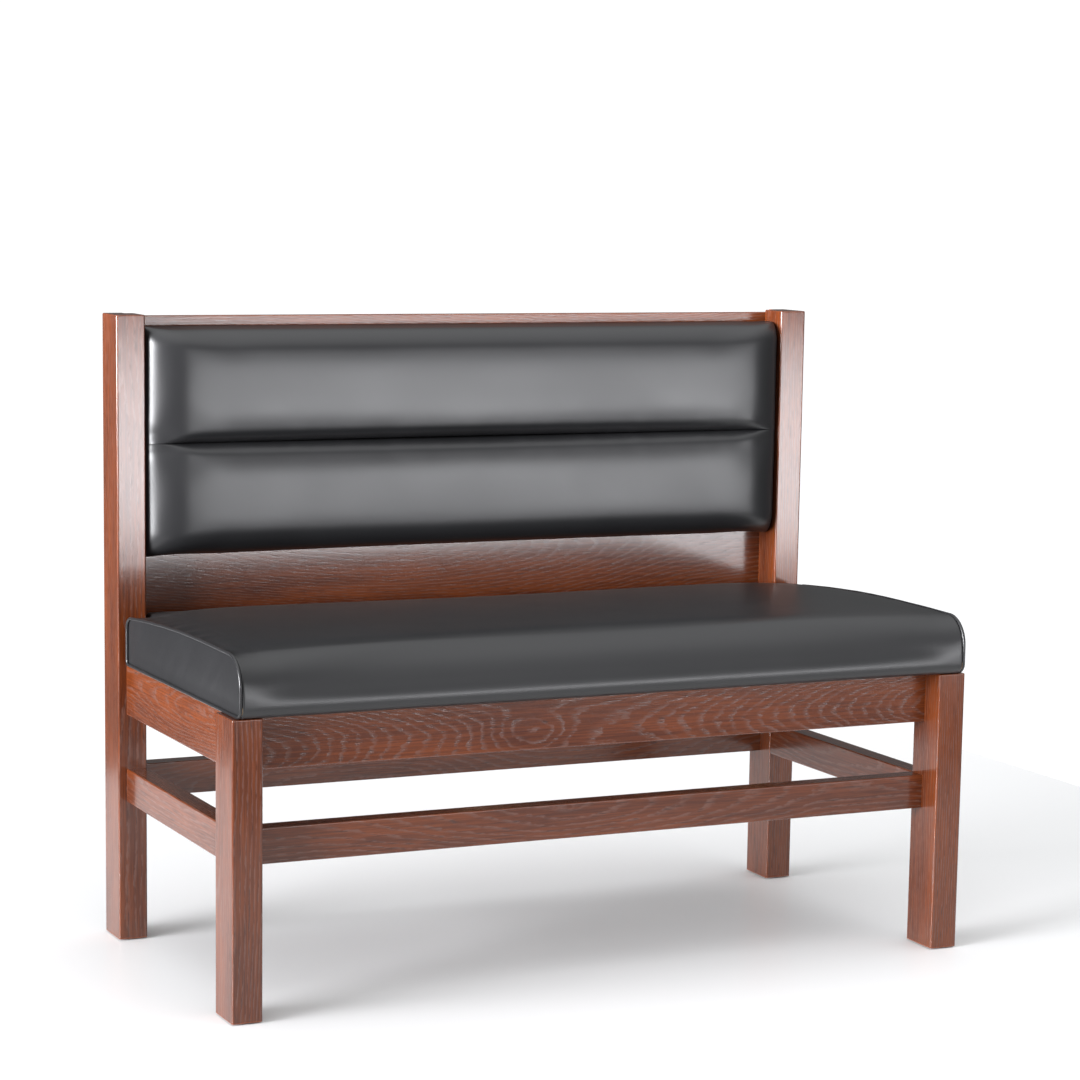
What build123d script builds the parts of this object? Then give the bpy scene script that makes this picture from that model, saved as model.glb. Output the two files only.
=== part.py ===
from build123d import *
import os

# One unit of an upholstered church pew. Millimetres, +Z up, +X to the sitter's left-hand
# neighbour, the front faces -Y. The origin is on the floor, under the middle of the unit.

# Overall sizes
overall_width = 1050.0      # over the outer faces of the legs
frame_depth = 520.0         # front face of the legs to rear face of the posts
overall_height = 850.0      # floor to the top of the posts

# Legs and posts, cut from the same timber
leg_width = 40.0
leg_depth = 63.0
leg_height = 382.0          # floor to the top of the legs and rails
glide_height = 2.0
glide_radius = 11.0
glide_nail_radius = 1.25
glide_nail_length = 16.0
glide_chamfer = 0.5
post_arris = 2.5
bar_arris = 1.8

# Seat rails and stretchers
stock = 28.0                # thickness of every rail, stretcher and bearer
rail_height = 70.0
stretcher_height = 46.0
stretcher_bottom = 192.0
side_inset = leg_width - stock      # side bars are flush with the legs' inner faces
front_inset = leg_depth - stock     # front bars are flush with the legs' rear faces
back_inset = 7.0            # back bars sit this far inside the posts' rear faces
bearer_height = 44.0

# Dowels
dowel_radius = 4.0
dowel_bite_leg = 20.0       # depth into a leg or post
dowel_bite_bar = 20.0       # depth into the end of a bar
dowel_bite_face = 14.0      # depth into the face of a rail
rail_stagger = 16.0         # height between neighbouring dowels of the two rails at one leg
rail_dowel_edge = 11.0
stretcher_stagger = 10.0
stretcher_dowel_edge = 8.0
bearer_dowel_edge = 12.0

# Back panel, laid from behind in a rebate along the posts and the back rail
panel_thickness = 12.0
panel_inset = 2.5           # rear face of the panel inside the posts' rear faces
panel_drop = 3.5            # top edge of the panel below the post tops
rebate_width = 14.0
rebate_lap = 20.0           # how far the panel laps down behind the back rail's top
panel_arris = 1.0

# Seat
seat_end_inset = 6.0        # ends of the cushion inside the legs' outer faces
seat_nose = 9.0             # front of the cushion ahead of the legs' front faces
seat_height = 80.0          # thickness of the whole cushion
seat_post_gap = 12.0        # rear of the cushion's ends to the posts' front faces
seat_side_gap = 4.0         # cushion to the posts' inner faces
seat_panel_gap = 4.0        # cushion to the back panel
seat_board_thickness = 15.0
nose_radius_top = 40.0
nose_radius_bottom = 14.0
rear_radius_top = 16.0
rear_radius_bottom = 8.0
welt_radius = 2.2
skin = 1.0                  # thickness of the vinyl
seat_turn_in = 40.0         # width of the vinyl turned under the seat board
dust_cover_thickness = 0.6
dust_cover_gap = 4.0        # edge of the dust cover to the rails' inner faces

# Back pad
pad_rise = 60.0             # bottom of the pad above the seat cushion
pad_drop = 16.0             # top of the pad below the post tops
pad_front = 68.0            # thickness of the pad, from the panel to the front of its rolls
pad_end_gap = 1.5           # ends of the pad to the posts' inner faces
pad_board_thickness = 9.0
pad_board_margin = 8.0      # edges of the pad board inside the cover
roll_radius_outer = 30.0
roll_radius_seam = 24.0
roll_end_radius = 26.0
pad_turn_in = 30.0

# Corner blocks and fixings
block_leg = 70.0
block_height = 36.0
block_drop = 2.0            # top of the blocks below the rails' tops
screw_radius = 2.0
screw_head_radius = 4.0
screw_head_height = 2.4
screw_tip = 3.0
screw_point_radius = 0.4
block_screw_grip = 20.0     # wood between the head of a block's screw and the rail
block_screw_bite = 12.0
block_screw_reach = 35.0    # corner to the screw, along the other rail
block_screw_gap = 7.5       # height of each screw above or below the block's middle
pocket_radius = 4.8
seat_screw_radius = 2.5
seat_screw_head_radius = 5.0
seat_screw_head_height = 3.0
seat_screw_bite = 11.0
panel_screw_bite = 13.0
panel_screw_pitch = 115.0
panel_screw_margin = 40.0
pad_screw_bite = 6.5
pad_screw_margin = 70.0
pad_screw_rise = 45.0       # rows of pad screws from the pad's top and bottom
staple_crown = 10.0
staple_width = 1.2
staple_thickness = 0.5
staple_pitch = 42.0
staple_margin = 6.0         # staples inside the edge of the dust cover
fit_gap = 0.05              # around dowels, screws and nails
hole_spare = 0.5            # depth of a dowel's hole past the dowel's end
overcut = 1.0               # how far a cut runs past the face it opens
loose_gap = 0.4             # around boards, panel and dust cover

# Places worked out from the sizes above
half_width = overall_width / 2
total_depth = frame_depth + seat_nose
leg_front = seat_nose - total_depth / 2
leg_rear = leg_front + leg_depth
post_rear = leg_front + frame_depth
post_front = post_rear - leg_depth
inner_x = half_width - leg_width
bar_outer_x = half_width - side_inset
front_bar_y = leg_front + front_inset
back_bar_y = post_rear - back_inset - stock
rail_bottom = leg_height - rail_height
panel_back = post_rear - panel_inset
panel_front = panel_back - panel_thickness
panel_foot = leg_height - rebate_lap
panel_top = overall_height - panel_drop
panel_half = inner_x + rebate_width - loose_gap
seat_bottom = leg_height
seat_top = seat_bottom + seat_height
seat_half = half_width - seat_end_inset
seat_front = leg_front - seat_nose
seat_end_rear = post_front - seat_post_gap
seat_mid_rear = panel_front - seat_panel_gap
seat_mid_half = inner_x - seat_side_gap
welt = 2 * welt_radius
block_top = leg_height - block_drop
block_mid = block_top - block_height / 2
dust_top = seat_bottom
dust_bottom = dust_top - dust_cover_thickness
board_bottom = seat_bottom + skin
board_top = board_bottom + seat_board_thickness
pad_half = inner_x - pad_end_gap
pad_bottom = seat_top + pad_rise
pad_top = overall_height - pad_drop
pad_seam = (pad_bottom + pad_top) / 2
sides = {"left": -1, "right": 1}


def block(x, y, z):
    """A box between the low and high values of each pair, in either order."""
    spans = [sorted(pair) for pair in (x, y, z)]
    centre = [(low + high) / 2 for low, high in spans]
    size = [high - low for low, high in spans]
    return Pos(*centre) * Box(*size)


def rod(start, direction, length, radius):
    """A round bar from start, along direction."""
    plane = Plane(origin=start, z_dir=direction)
    return plane * Cylinder(radius, length, align=(Align.CENTER, Align.CENTER, Align.MIN))


def soften(solid, axis, radius):
    """Rounds the edges that run along one axis."""
    return fillet(solid.edges().filter_by(axis), radius)


def group(solids):
    """Separate solids kept in one sub-part."""
    return Compound(children=[s for one in solids for s in one.solids()])


def save(name, shape):
    export_step(shape, os.path.join("parts", name + ".step"))


# ---- Dowel joints: (start in the joint plane, direction out of the bar, depth beyond the plane)

def joint_heights(bottom, height, stagger, edge, raised):
    """Heights of the two dowels at one end of a bar. Raised bars clear the dowels of the others."""
    low = bottom + edge + (stagger if raised else 0)
    high = bottom + height - edge - (0 if raised else stagger)
    return (low, high)


def end_joints(ends, heights, leg_bite):
    """Dowels at both ends of a bar, from the middle of each end face and its outward direction."""
    return [((x, y, z), out, leg_bite) for (x, y), out in ends for z in heights]


def cross_ends(y_low, reach):
    y = y_low + stock / 2
    return [((s * reach, y), (s, 0, 0)) for s in (-1, 1)]


def side_ends(sign):
    x = sign * (bar_outer_x - stock / 2)
    return [((x, leg_rear), (0, -1, 0)), ((x, post_front), (0, 1, 0))]


rail_low = joint_heights(rail_bottom, rail_height, rail_stagger, rail_dowel_edge, False)
rail_high = joint_heights(rail_bottom, rail_height, rail_stagger, rail_dowel_edge, True)
foot_low = joint_heights(
    stretcher_bottom, stretcher_height, stretcher_stagger, stretcher_dowel_edge, False)
foot_high = joint_heights(
    stretcher_bottom, stretcher_height, stretcher_stagger, stretcher_dowel_edge, True)
bearer_bottom = dust_bottom - bearer_height
bearer_rows = joint_heights(bearer_bottom, bearer_height, 0, bearer_dowel_edge, False)
bearer_ends = [((0, leg_rear), (0, -1, 0)), ((0, back_bar_y), (0, 1, 0))]

rail_joints = {
    "front": end_joints(cross_ends(front_bar_y, inner_x), rail_low, dowel_bite_leg),
    "back": end_joints(cross_ends(back_bar_y, inner_x), rail_low, dowel_bite_leg),
    "left": end_joints(side_ends(-1), rail_high, dowel_bite_leg),
    "right": end_joints(side_ends(1), rail_high, dowel_bite_leg),
}
stretcher_joints = {
    "front": end_joints(cross_ends(front_bar_y, inner_x), foot_low, dowel_bite_leg),
    "back": end_joints(cross_ends(back_bar_y, inner_x), foot_low, dowel_bite_leg),
    "left": end_joints(side_ends(-1), foot_high, dowel_bite_leg),
    "right": end_joints(side_ends(1), foot_high, dowel_bite_leg),
}
bearer_joints = end_joints(bearer_ends, bearer_rows, dowel_bite_face)
leg_joints = [j for found in (rail_joints, stretcher_joints) for js in found.values() for j in js]


def dowel(joint, gap=0.0, spare=0.0):
    """One dowel, or with a gap and some spare depth the hole for it."""
    start, out, bite = joint
    behind = dowel_bite_bar + spare
    back = [p - o * behind for p, o in zip(start, out)]
    return rod(back, out, behind + bite + spare, dowel_radius + gap)


def drill(solid, joints):
    for joint in joints:
        solid -= dowel(joint, fit_gap, hole_spare)
    return solid


# ---- Screws

def screw(start, direction, length, radius=screw_radius, head_radius=screw_head_radius,
          head_height=screw_head_height):
    """A countersunk screw: start is the middle of its flat head, direction runs to the tip."""
    plane = Plane(origin=start, z_dir=direction)
    bottom = (Align.CENTER, Align.CENTER, Align.MIN)
    head = plane * Cone(head_radius, radius, head_height, align=bottom)
    shank = rod(start, direction, length - screw_tip, radius)
    tip_start = [p + d * (length - screw_tip) for p, d in zip(start, direction)]
    tip = Plane(origin=tip_start, z_dir=direction) * Cone(
        radius, screw_point_radius, screw_tip, align=bottom)
    return head + shank + tip


def screw_hole(start, direction, length, radius=screw_radius, head_radius=screw_head_radius,
               head_height=screw_head_height):
    """The countersunk hole that such a screw fills."""
    bottom = (Align.CENTER, Align.CENTER, Align.MIN)
    sink = Cone(head_radius + fit_gap, radius + fit_gap, head_height, align=bottom)
    return Plane(origin=start, z_dir=direction) * sink + rod(
        start, direction, length + overcut, radius + fit_gap)


corners = {
    "front_left": (-1, -1),
    "front_right": (1, -1),
    "back_left": (-1, 1),
    "back_right": (1, 1),
}


def corner_point(sx, sy):
    """Where the inner faces of the two rails meet."""
    return sx * inner_x, (leg_rear if sy < 0 else back_bar_y)


def block_screws(sx, sy):
    """Start and direction of the two screws that hold one corner block to its rails."""
    x, y = corner_point(sx, sy)
    to_cross = ((x - sx * block_screw_reach, y - sy * block_screw_grip, block_mid + block_screw_gap),
                (0, sy, 0))
    to_side = ((x - sx * block_screw_grip, y - sy * block_screw_reach, block_mid - block_screw_gap),
               (sx, 0, 0))
    return [to_cross, to_side]


def seat_screw_start(sx, sy):
    """Underneath each corner block, at the middle of its triangle."""
    x, y = corner_point(sx, sy)
    return x - sx * block_leg / 3, y - sy * block_leg / 3, block_top - block_height


block_screw_length = block_screw_grip + block_screw_bite
seat_screw_length = board_bottom + seat_screw_bite - (block_top - block_height)
up = (0, 0, 1)
forward = (0, -1, 0)


def panel_screw_places():
    """Screws up both rebates of the posts and along the back rail."""
    rows = int((panel_top - panel_foot - 2 * panel_screw_margin) / panel_screw_pitch)
    step = (panel_top - panel_foot - 2 * panel_screw_margin) / rows
    heights = [panel_foot + panel_screw_margin + step * i for i in range(rows + 1)]
    post_x = inner_x + rebate_width / 2
    places = [(s * post_x, panel_back, z) for s in (-1, 1) for z in heights]
    spaces = int(2 * (inner_x - panel_screw_margin) / panel_screw_pitch)
    span = 2 * (inner_x - panel_screw_margin)
    row = panel_foot + rebate_lap / 2
    places += [(-span / 2 + span * i / spaces, panel_back, row) for i in range(spaces + 1)]
    return places


def pad_screw_places():
    """Two rows of screws through the panel into the pad board."""
    reach = pad_half - pad_screw_margin
    rows = (pad_bottom + pad_screw_rise, pad_top - pad_screw_rise)
    return [(reach * i, panel_back, z) for i in (-1, 0, 1) for z in rows]


panel_screw_length = panel_thickness + panel_screw_bite
pad_screw_length = panel_thickness + skin + pad_screw_bite


# ---- Frame

def front_leg(sign):
    leg = block((sign * inner_x, sign * half_width), (leg_front, leg_rear), (glide_height, leg_height))
    leg = soften(leg, Axis.Z, post_arris)
    leg = fillet(leg.edges().group_by(Axis.Z)[-1], bar_arris)
    leg -= glide_nail(sign, (leg_front + leg_rear) / 2, fit_gap)
    return drill(leg, [j for j in leg_joints if on_side(j, sign) and j[0][1] <= leg_rear])


def back_post(sign):
    post = block((sign * inner_x, sign * half_width), (post_front, post_rear),
                 (glide_height, overall_height))
    post = soften(post, Axis.Z, post_arris)
    post = fillet(post.edges().group_by(Axis.Z)[-1], bar_arris)
    rebate_x = (sign * (inner_x - overcut), sign * (inner_x + rebate_width))
    post -= block(rebate_x, (panel_front, post_rear + overcut),
                  (panel_foot, overall_height + overcut))
    post -= glide_nail(sign, (post_front + post_rear) / 2, fit_gap)
    for place in panel_screw_places():
        if place[0] * sign > inner_x:
            post -= screw_hole(place, forward, panel_screw_length)
    return drill(post, [j for j in leg_joints if on_side(j, sign) and j[0][1] >= post_front])


def on_side(joint, sign):
    return joint[0][0] * sign > 0


def cross_bar(y_low, half, bottom, height, joints):
    """A rail or stretcher that runs across the unit."""
    bar = block((-half, half), (y_low, y_low + stock), (bottom, bottom + height))
    return drill(soften(bar, Axis.X, bar_arris), joints)


def side_bar(sign, bottom, height, joints):
    """A rail or stretcher that runs from a front leg to a back post."""
    x = (sign * (bar_outer_x - stock), sign * bar_outer_x)
    bar = block(x, (leg_rear, post_front), (bottom, bottom + height))
    return drill(soften(bar, Axis.Y, bar_arris), joints)


def drill_block_screws(bar, axis):
    """Pilot holes for the corner blocks' screws that point along one axis."""
    for sx, sy in corners.values():
        for start, direction in block_screws(sx, sy):
            if abs(direction[axis]) == 1:
                bar -= rod(start, direction, block_screw_length + overcut, screw_radius + fit_gap)
    return bar


def back_rail():
    rail = cross_bar(back_bar_y, inner_x, rail_bottom, rail_height,
                     rail_joints["back"] + bearer_joints)
    rail -= block((-half_width, half_width), (panel_front, post_rear),
                  (panel_foot, leg_height + overcut))
    for place in panel_screw_places():
        if place[2] < leg_height:
            rail -= screw_hole(place, forward, panel_screw_length)
    return drill_block_screws(rail, 1)


def seat_bearer():
    bar = block((-stock / 2, stock / 2), (leg_rear, back_bar_y), (bearer_bottom, dust_bottom))
    return drill(soften(bar, Axis.Y, bar_arris), bearer_joints)


def corner_block(sx, sy):
    """A triangular block in the corner of two rails, with pockets for its screw heads."""
    x, y = corner_point(sx, sy)
    bottom = block_top - block_height
    outline = Polyline((x, y), (x - sx * block_leg, y), (x, y - sy * block_leg), close=True)
    wedge = extrude(Pos(0, 0, bottom) * make_face(outline), block_height, dir=up)
    for start, direction in block_screws(sx, sy):
        wedge -= rod(start, [-d for d in direction], block_leg, pocket_radius)
        wedge -= screw_hole(start, direction, block_screw_length)
    return wedge - screw_hole(seat_screw_start(sx, sy), up, seat_screw_length, seat_screw_radius,
                              seat_screw_head_radius, seat_screw_head_height)


# ---- Glides

def glide_nail(sign, y, gap=0.0):
    x = sign * (half_width - leg_width / 2)
    return rod((x, y, glide_height / 2), up, glide_nail_length + gap, glide_nail_radius + gap)


def glide(sign, y):
    x = sign * (half_width - leg_width / 2)
    disc = rod((x, y, 0), up, glide_height, glide_radius)
    disc = chamfer(disc.edges().group_by(Axis.Z)[0], glide_chamfer)
    return disc + glide_nail(sign, y)


# ---- Back panel

def back_panel():
    panel = block((-panel_half, panel_half), (panel_front, panel_back),
                  (panel_foot + loose_gap, panel_top))
    panel = fillet(panel.edges().filter_by(Axis.X).group_by(Axis.Z)[-1], panel_arris)
    for place in panel_screw_places():
        panel -= screw_hole(place, forward, panel_screw_length)
    for place in pad_screw_places():
        panel -= screw_hole(place, forward, pad_screw_length)
    return panel


# ---- Seat cushion

def seat_section(inset, rear):
    """Side view of the cushion: bull-nosed front, softly rounded rear."""
    low, high = seat_bottom + inset, seat_top - inset
    front, back = seat_front + inset, rear - inset
    outline = Polyline((front, low), (front, high), (back, high), (back, low), close=True)
    face = make_face(outline)
    rounding = [nose_radius_bottom, nose_radius_top, rear_radius_top, rear_radius_bottom]
    for (y, z), radius in zip([(front, low), (front, high), (back, high), (back, low)], rounding):
        corner = face.vertices().sort_by_distance(Vector(y, z, 0))[0]
        face = fillet(corner, radius - inset)
    return face


def along_x(section, low, high):
    """Carries a side view (its x is Y, its y is Z) from one X to another."""
    plane = Plane(origin=(low, 0, 0), x_dir=(0, 1, 0), z_dir=(1, 0, 0))
    return extrude(plane * section, high - low)


def seat_form(inset):
    """The cushion between its welts, with the part that fills in between the posts."""
    end = seat_half - welt
    ends = along_x(seat_section(inset, seat_end_rear), -end, end)
    reach = seat_mid_half - inset
    middle = block((-reach, reach), (leg_rear, seat_mid_rear - inset),
                   (seat_bottom + inset, seat_top - inset))
    top_rear = middle.edges().filter_by(Axis.X).sort_by(Axis.Y)[-2:].sort_by(Axis.Z)[-1]
    middle = fillet(top_rear, rear_radius_top - inset)
    return ends + middle


def pierce(sheet, gap):
    """Holes for the four screws that come up through the corner blocks."""
    for sx, sy in corners.values():
        sheet -= rod(seat_screw_start(sx, sy), up, seat_screw_length + overcut,
                     seat_screw_radius + gap)
    return sheet


def seat_board():
    board = seat_form(skin) & block((-seat_half, seat_half), (seat_front, panel_front),
                                    (board_bottom, board_top))
    return pierce(board, fit_gap)


def seat_foam():
    return seat_form(skin) & block((-seat_half, seat_half), (seat_front, panel_front),
                                   (board_top, seat_top))


def seat_wrap():
    """One piece of vinyl over the front, top and rear, turned in under the board."""
    level = (seat_bottom - overcut, board_bottom + overcut)
    side, rear_side = seat_half - seat_turn_in, seat_mid_half - seat_turn_in
    window = block((-side, side), (seat_front + seat_turn_in, seat_end_rear - seat_turn_in), level)
    window += block((-rear_side, rear_side), (leg_rear, seat_mid_rear - seat_turn_in), level)
    return pierce(seat_form(0) - seat_form(skin) - window, loose_gap)


def seat_end(sign):
    """The flat vinyl panel inside one welt."""
    outer = seat_half - welt
    low, high = sorted((sign * outer, sign * (outer + skin)))
    return along_x(seat_section(welt, seat_end_rear), low, high)


def seat_welt(sign):
    """Piping round one end of the cushion."""
    path = seat_section(welt_radius, seat_end_rear).face().outer_wire()
    x = sign * (seat_half - welt_radius)
    plane = Plane(origin=(x, 0, 0), x_dir=(0, 1, 0), z_dir=(1, 0, 0))
    path = plane * path
    cord = Plane(origin=path @ 0, z_dir=path % 0) * Circle(welt_radius)
    return sweep(cord, path=path)


dust_half = inner_x - dust_cover_gap
dust_front = leg_rear + dust_cover_gap
dust_rear = back_bar_y - dust_cover_gap


def seat_dust_cover():
    sheet = block((-dust_half, dust_half), (dust_front, dust_rear), (dust_bottom, dust_top))
    return pierce(sheet, loose_gap)


def evenly(low, high, pitch):
    spaces = max(1, int((high - low) / pitch))
    return [low + (high - low) * i / spaces for i in range(spaces + 1)]


def clear_of_woodwork(x, y):
    """Staples are left out under the bearer and over the corner blocks."""
    from_bearer = abs(x) - stock / 2
    from_corner = min(abs(abs(x) - inner_x) + abs(y - cy) for cy in (leg_rear, back_bar_y))
    return from_bearer > staple_crown and from_corner > block_leg + staple_crown


def seat_staples():
    """The crowns of the staples round the dust cover; their points are buried in the board."""
    z = (dust_bottom - staple_thickness, dust_bottom)
    x_edge, half = dust_half - staple_margin, staple_crown / 2
    y_front, y_rear = dust_front + staple_margin, dust_rear - staple_margin
    wide = [(x, y) for x in evenly(-x_edge, x_edge, staple_pitch) for y in (y_front, y_rear)]
    deep = [(x, y) for y in evenly(y_front, y_rear, staple_pitch) for x in (-x_edge, x_edge)]
    thin = staple_width / 2
    crowns = [block((x - half, x + half), (y - thin, y + thin), z)
              for x, y in wide if clear_of_woodwork(x, y)]
    crowns += [block((x - thin, x + thin), (y - half, y + half), z)
               for x, y in deep if clear_of_woodwork(x, y)]
    return group(crowns)


# ---- Back pad

def roll_section(inset, low, high, seam_low):
    """Side view of one roll: fuller at the outer edge, tucked in at the seam."""
    back = panel_front - inset
    front = panel_front - pad_front + inset
    low, high = low + inset, high - inset
    corners_yz = [(front, low), (front, high), (back, high), (back, low)]
    face = make_face(Polyline(*corners_yz, close=True))
    outer, seam = roll_radius_outer - inset, roll_radius_seam - inset
    rounding = [(corners_yz[0], seam if seam_low else outer),
                (corners_yz[1], outer if seam_low else seam)]
    for (y, z), radius in rounding:
        corner = face.vertices().sort_by_distance(Vector(y, z, 0))[0]
        face = fillet(corner, radius)
    return face


def pad_plan(inset):
    """Top view of the pad: the front corners are rounded off at the posts."""
    half = pad_half - inset
    front, back = panel_front - pad_front + inset, panel_front - inset
    slab = block((-half, half), (front, back), (pad_bottom, pad_top))
    upright = slab.edges().filter_by(Axis.Z).group_by(Axis.Y)[0]
    return fillet(upright, roll_end_radius - inset)


def pad_roll(inset, upper):
    low, high = (pad_seam, pad_top) if upper else (pad_bottom, pad_seam)
    section = roll_section(inset, low, high, seam_low=upper)
    return along_x(section, -pad_half, pad_half) & pad_plan(inset)


def pad_board_space(grow=0.0):
    edge = pad_half - pad_board_margin + grow
    rear = panel_front - skin
    return block((-edge, edge), (rear - pad_board_thickness, rear + grow),
                 (pad_bottom + pad_board_margin - grow, pad_top - pad_board_margin + grow))


def pad_board():
    board = pad_board_space()
    for place in pad_screw_places():
        board -= screw_hole(place, forward, pad_screw_length)
    return board


def pad_foam(upper):
    return pad_roll(skin, upper) - pad_board_space()


def pad_cover():
    """The sewn vinyl: two channels with a web between, turned in behind the board."""
    whole = pad_roll(0, True) + pad_roll(0, False)
    edge = pad_half - pad_turn_in
    window = block((-edge, edge), (panel_front - skin - overcut, panel_front + overcut),
                   (pad_bottom + pad_turn_in, pad_top - pad_turn_in))
    hollow = whole - pad_roll(skin, True) - pad_roll(skin, False)
    return hollow - pad_board_space() - window


# ---- All the sub-parts

def make_parts():
    parts = {}
    for side, sign in sides.items():
        parts[f"front_leg_{side}"] = front_leg(sign)
        parts[f"back_post_{side}"] = back_post(sign)
        parts[f"seat_rail_{side}"] = drill_block_screws(
            side_bar(sign, rail_bottom, rail_height, rail_joints[side]), 0)
        parts[f"stretcher_{side}"] = side_bar(
            sign, stretcher_bottom, stretcher_height, stretcher_joints[side])
        parts[f"seat_end_{side}"] = seat_end(sign)
        parts[f"seat_welt_{side}"] = seat_welt(sign)
        parts[f"glide_front_{side}"] = glide(sign, (leg_front + leg_rear) / 2)
        parts[f"glide_back_{side}"] = glide(sign, (post_front + post_rear) / 2)
    front_rail = cross_bar(front_bar_y, inner_x, rail_bottom, rail_height,
                           rail_joints["front"] + bearer_joints)
    parts["seat_rail_front"] = drill_block_screws(front_rail, 1)
    parts["seat_rail_back"] = back_rail()
    parts["stretcher_front"] = cross_bar(
        front_bar_y, inner_x, stretcher_bottom, stretcher_height, stretcher_joints["front"])
    parts["stretcher_back"] = cross_bar(
        back_bar_y, inner_x, stretcher_bottom, stretcher_height, stretcher_joints["back"])
    parts["seat_bearer"] = seat_bearer()
    for name, (sx, sy) in corners.items():
        parts[f"corner_block_{name}"] = corner_block(sx, sy)
    parts["back_panel"] = back_panel()
    parts["rail_dowels"] = group([dowel(j) for js in rail_joints.values() for j in js])
    parts["stretcher_dowels"] = group([dowel(j) for js in stretcher_joints.values() for j in js])
    parts["bearer_dowels"] = group([dowel(j) for j in bearer_joints])
    parts["corner_block_screws"] = group(
        [screw(start, direction, block_screw_length)
         for sx, sy in corners.values() for start, direction in block_screws(sx, sy)])
    parts["seat_fixing_screws"] = group(
        [screw(seat_screw_start(sx, sy), up, seat_screw_length, seat_screw_radius,
               seat_screw_head_radius, seat_screw_head_height) for sx, sy in corners.values()])
    parts["panel_screws"] = group(
        [screw(place, forward, panel_screw_length) for place in panel_screw_places()])
    parts["pad_screws"] = group(
        [screw(place, forward, pad_screw_length) for place in pad_screw_places()])
    parts["seat_board"] = seat_board()
    parts["seat_foam"] = seat_foam()
    parts["seat_cover"] = seat_wrap()
    parts["seat_dust_cover"] = seat_dust_cover()
    parts["seat_staples"] = seat_staples()
    parts["pad_board"] = pad_board()
    parts["pad_foam_upper"] = pad_foam(True)
    parts["pad_foam_lower"] = pad_foam(False)
    parts["pad_cover"] = pad_cover()
    return parts


os.makedirs("parts", exist_ok=True)
for part_name, part_shape in make_parts().items():
    save(part_name, part_shape)
    print(part_name, round(part_shape.volume))
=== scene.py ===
# %% [markdown]
# # An upholstered church pew
#
# This lesson dresses a measured pew: its timber frame, joints, screws and boards arrive as a
# finished engineering model, and here they get their finishes, their upholstery and a studio.
#
# The engineering model is loaded first and is never moved. Every size below is read from it,
# so each soft piece lands exactly where the frame leaves room for it.

# %% Load the frame
import math

import bmesh
import bpy
import numpy as np
from mathutils import Matrix, Vector, noise


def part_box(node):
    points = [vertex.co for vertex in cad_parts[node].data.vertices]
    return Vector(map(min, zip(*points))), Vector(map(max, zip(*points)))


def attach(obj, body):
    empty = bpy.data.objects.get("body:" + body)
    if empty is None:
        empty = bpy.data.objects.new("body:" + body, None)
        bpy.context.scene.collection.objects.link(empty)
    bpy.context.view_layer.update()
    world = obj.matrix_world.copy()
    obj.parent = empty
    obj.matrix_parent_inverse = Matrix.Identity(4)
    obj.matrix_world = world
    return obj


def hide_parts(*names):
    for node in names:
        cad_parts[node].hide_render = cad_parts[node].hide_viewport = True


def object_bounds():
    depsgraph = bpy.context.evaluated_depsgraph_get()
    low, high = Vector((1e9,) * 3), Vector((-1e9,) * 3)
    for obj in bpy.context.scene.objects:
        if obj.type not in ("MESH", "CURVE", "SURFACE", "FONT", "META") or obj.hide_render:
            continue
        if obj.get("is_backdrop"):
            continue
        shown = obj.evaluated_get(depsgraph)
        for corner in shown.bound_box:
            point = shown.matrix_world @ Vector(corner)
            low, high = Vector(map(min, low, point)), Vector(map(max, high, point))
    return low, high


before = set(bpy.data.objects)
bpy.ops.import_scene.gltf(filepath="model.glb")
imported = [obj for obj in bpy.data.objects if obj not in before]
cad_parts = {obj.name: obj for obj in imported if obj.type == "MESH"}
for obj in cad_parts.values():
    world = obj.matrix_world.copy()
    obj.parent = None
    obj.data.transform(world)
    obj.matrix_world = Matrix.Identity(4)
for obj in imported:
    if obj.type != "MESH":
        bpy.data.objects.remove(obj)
cad_low, cad_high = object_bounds()
size = cad_high - cad_low
print(f"{len(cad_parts)} parts, {size.x:.3f} x {size.y:.3f} x {size.z:.3f} m")

MM = 0.001

# %% [markdown]
# ## The camera
#
# A portrait of furniture is taken from a little above seat height with a long lens, which keeps
# the uprights parallel. The lens is shifted upwards instead of tilting the camera further, as a
# studio photographer does, so the legs don't lean.

# %% Camera
sensor = 36.0
lens_length = 101.86
camera_place = Vector((-1.7491, -3.7079, 1.0398))
camera_heading = math.radians(25.34)
camera_dip = math.radians(8.63)
camera_roll = math.radians(0.88)

lens = bpy.data.cameras.new("studio_camera")
lens.sensor_width = sensor
lens.lens = lens_length
lens.shift_y = 0.0926
lens.clip_end = 100
camera = bpy.data.objects.new("studio_camera", lens)
bpy.context.scene.collection.objects.link(camera)
camera.matrix_world = (
    Matrix.Translation(camera_place)
    @ Matrix.Rotation(-camera_heading, 4, "Z")
    @ Matrix.Rotation(math.radians(90) - camera_dip, 4, "X")
    @ Matrix.Rotation(camera_roll, 4, "Z")
)
bpy.context.scene.camera = camera
print(f"camera {camera_place.length:.2f} m away, {lens_length:.0f} mm lens")

# %% [markdown]
# ## Building node trees with one helper
#
# Materials and Geometry Nodes are both trees of nodes. One helper adds a node, sets its options
# and fills its inputs. An input given as a number is typed in, and an input given as another
# node's output is wired up.

# %% Node helpers
def add(tree, kind, inputs=None, **options):
    """Adds a node. inputs maps a socket's name or place to a value or to an output socket."""
    node = tree.nodes.new(kind)
    for option, value in options.items():
        setattr(node, option, value)
    for key, value in (inputs or {}).items():
        socket = node.inputs[key]
        if isinstance(value, bpy.types.NodeSocket):
            tree.links.new(value, socket)
        else:
            socket.default_value = value
    return node


def calc(tree, operation, a, b=0.0, c=0.0):
    """One step of arithmetic."""
    return add(tree, "ShaderNodeMath", {0: a, 1: b, 2: c}, operation=operation).outputs[0]


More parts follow.
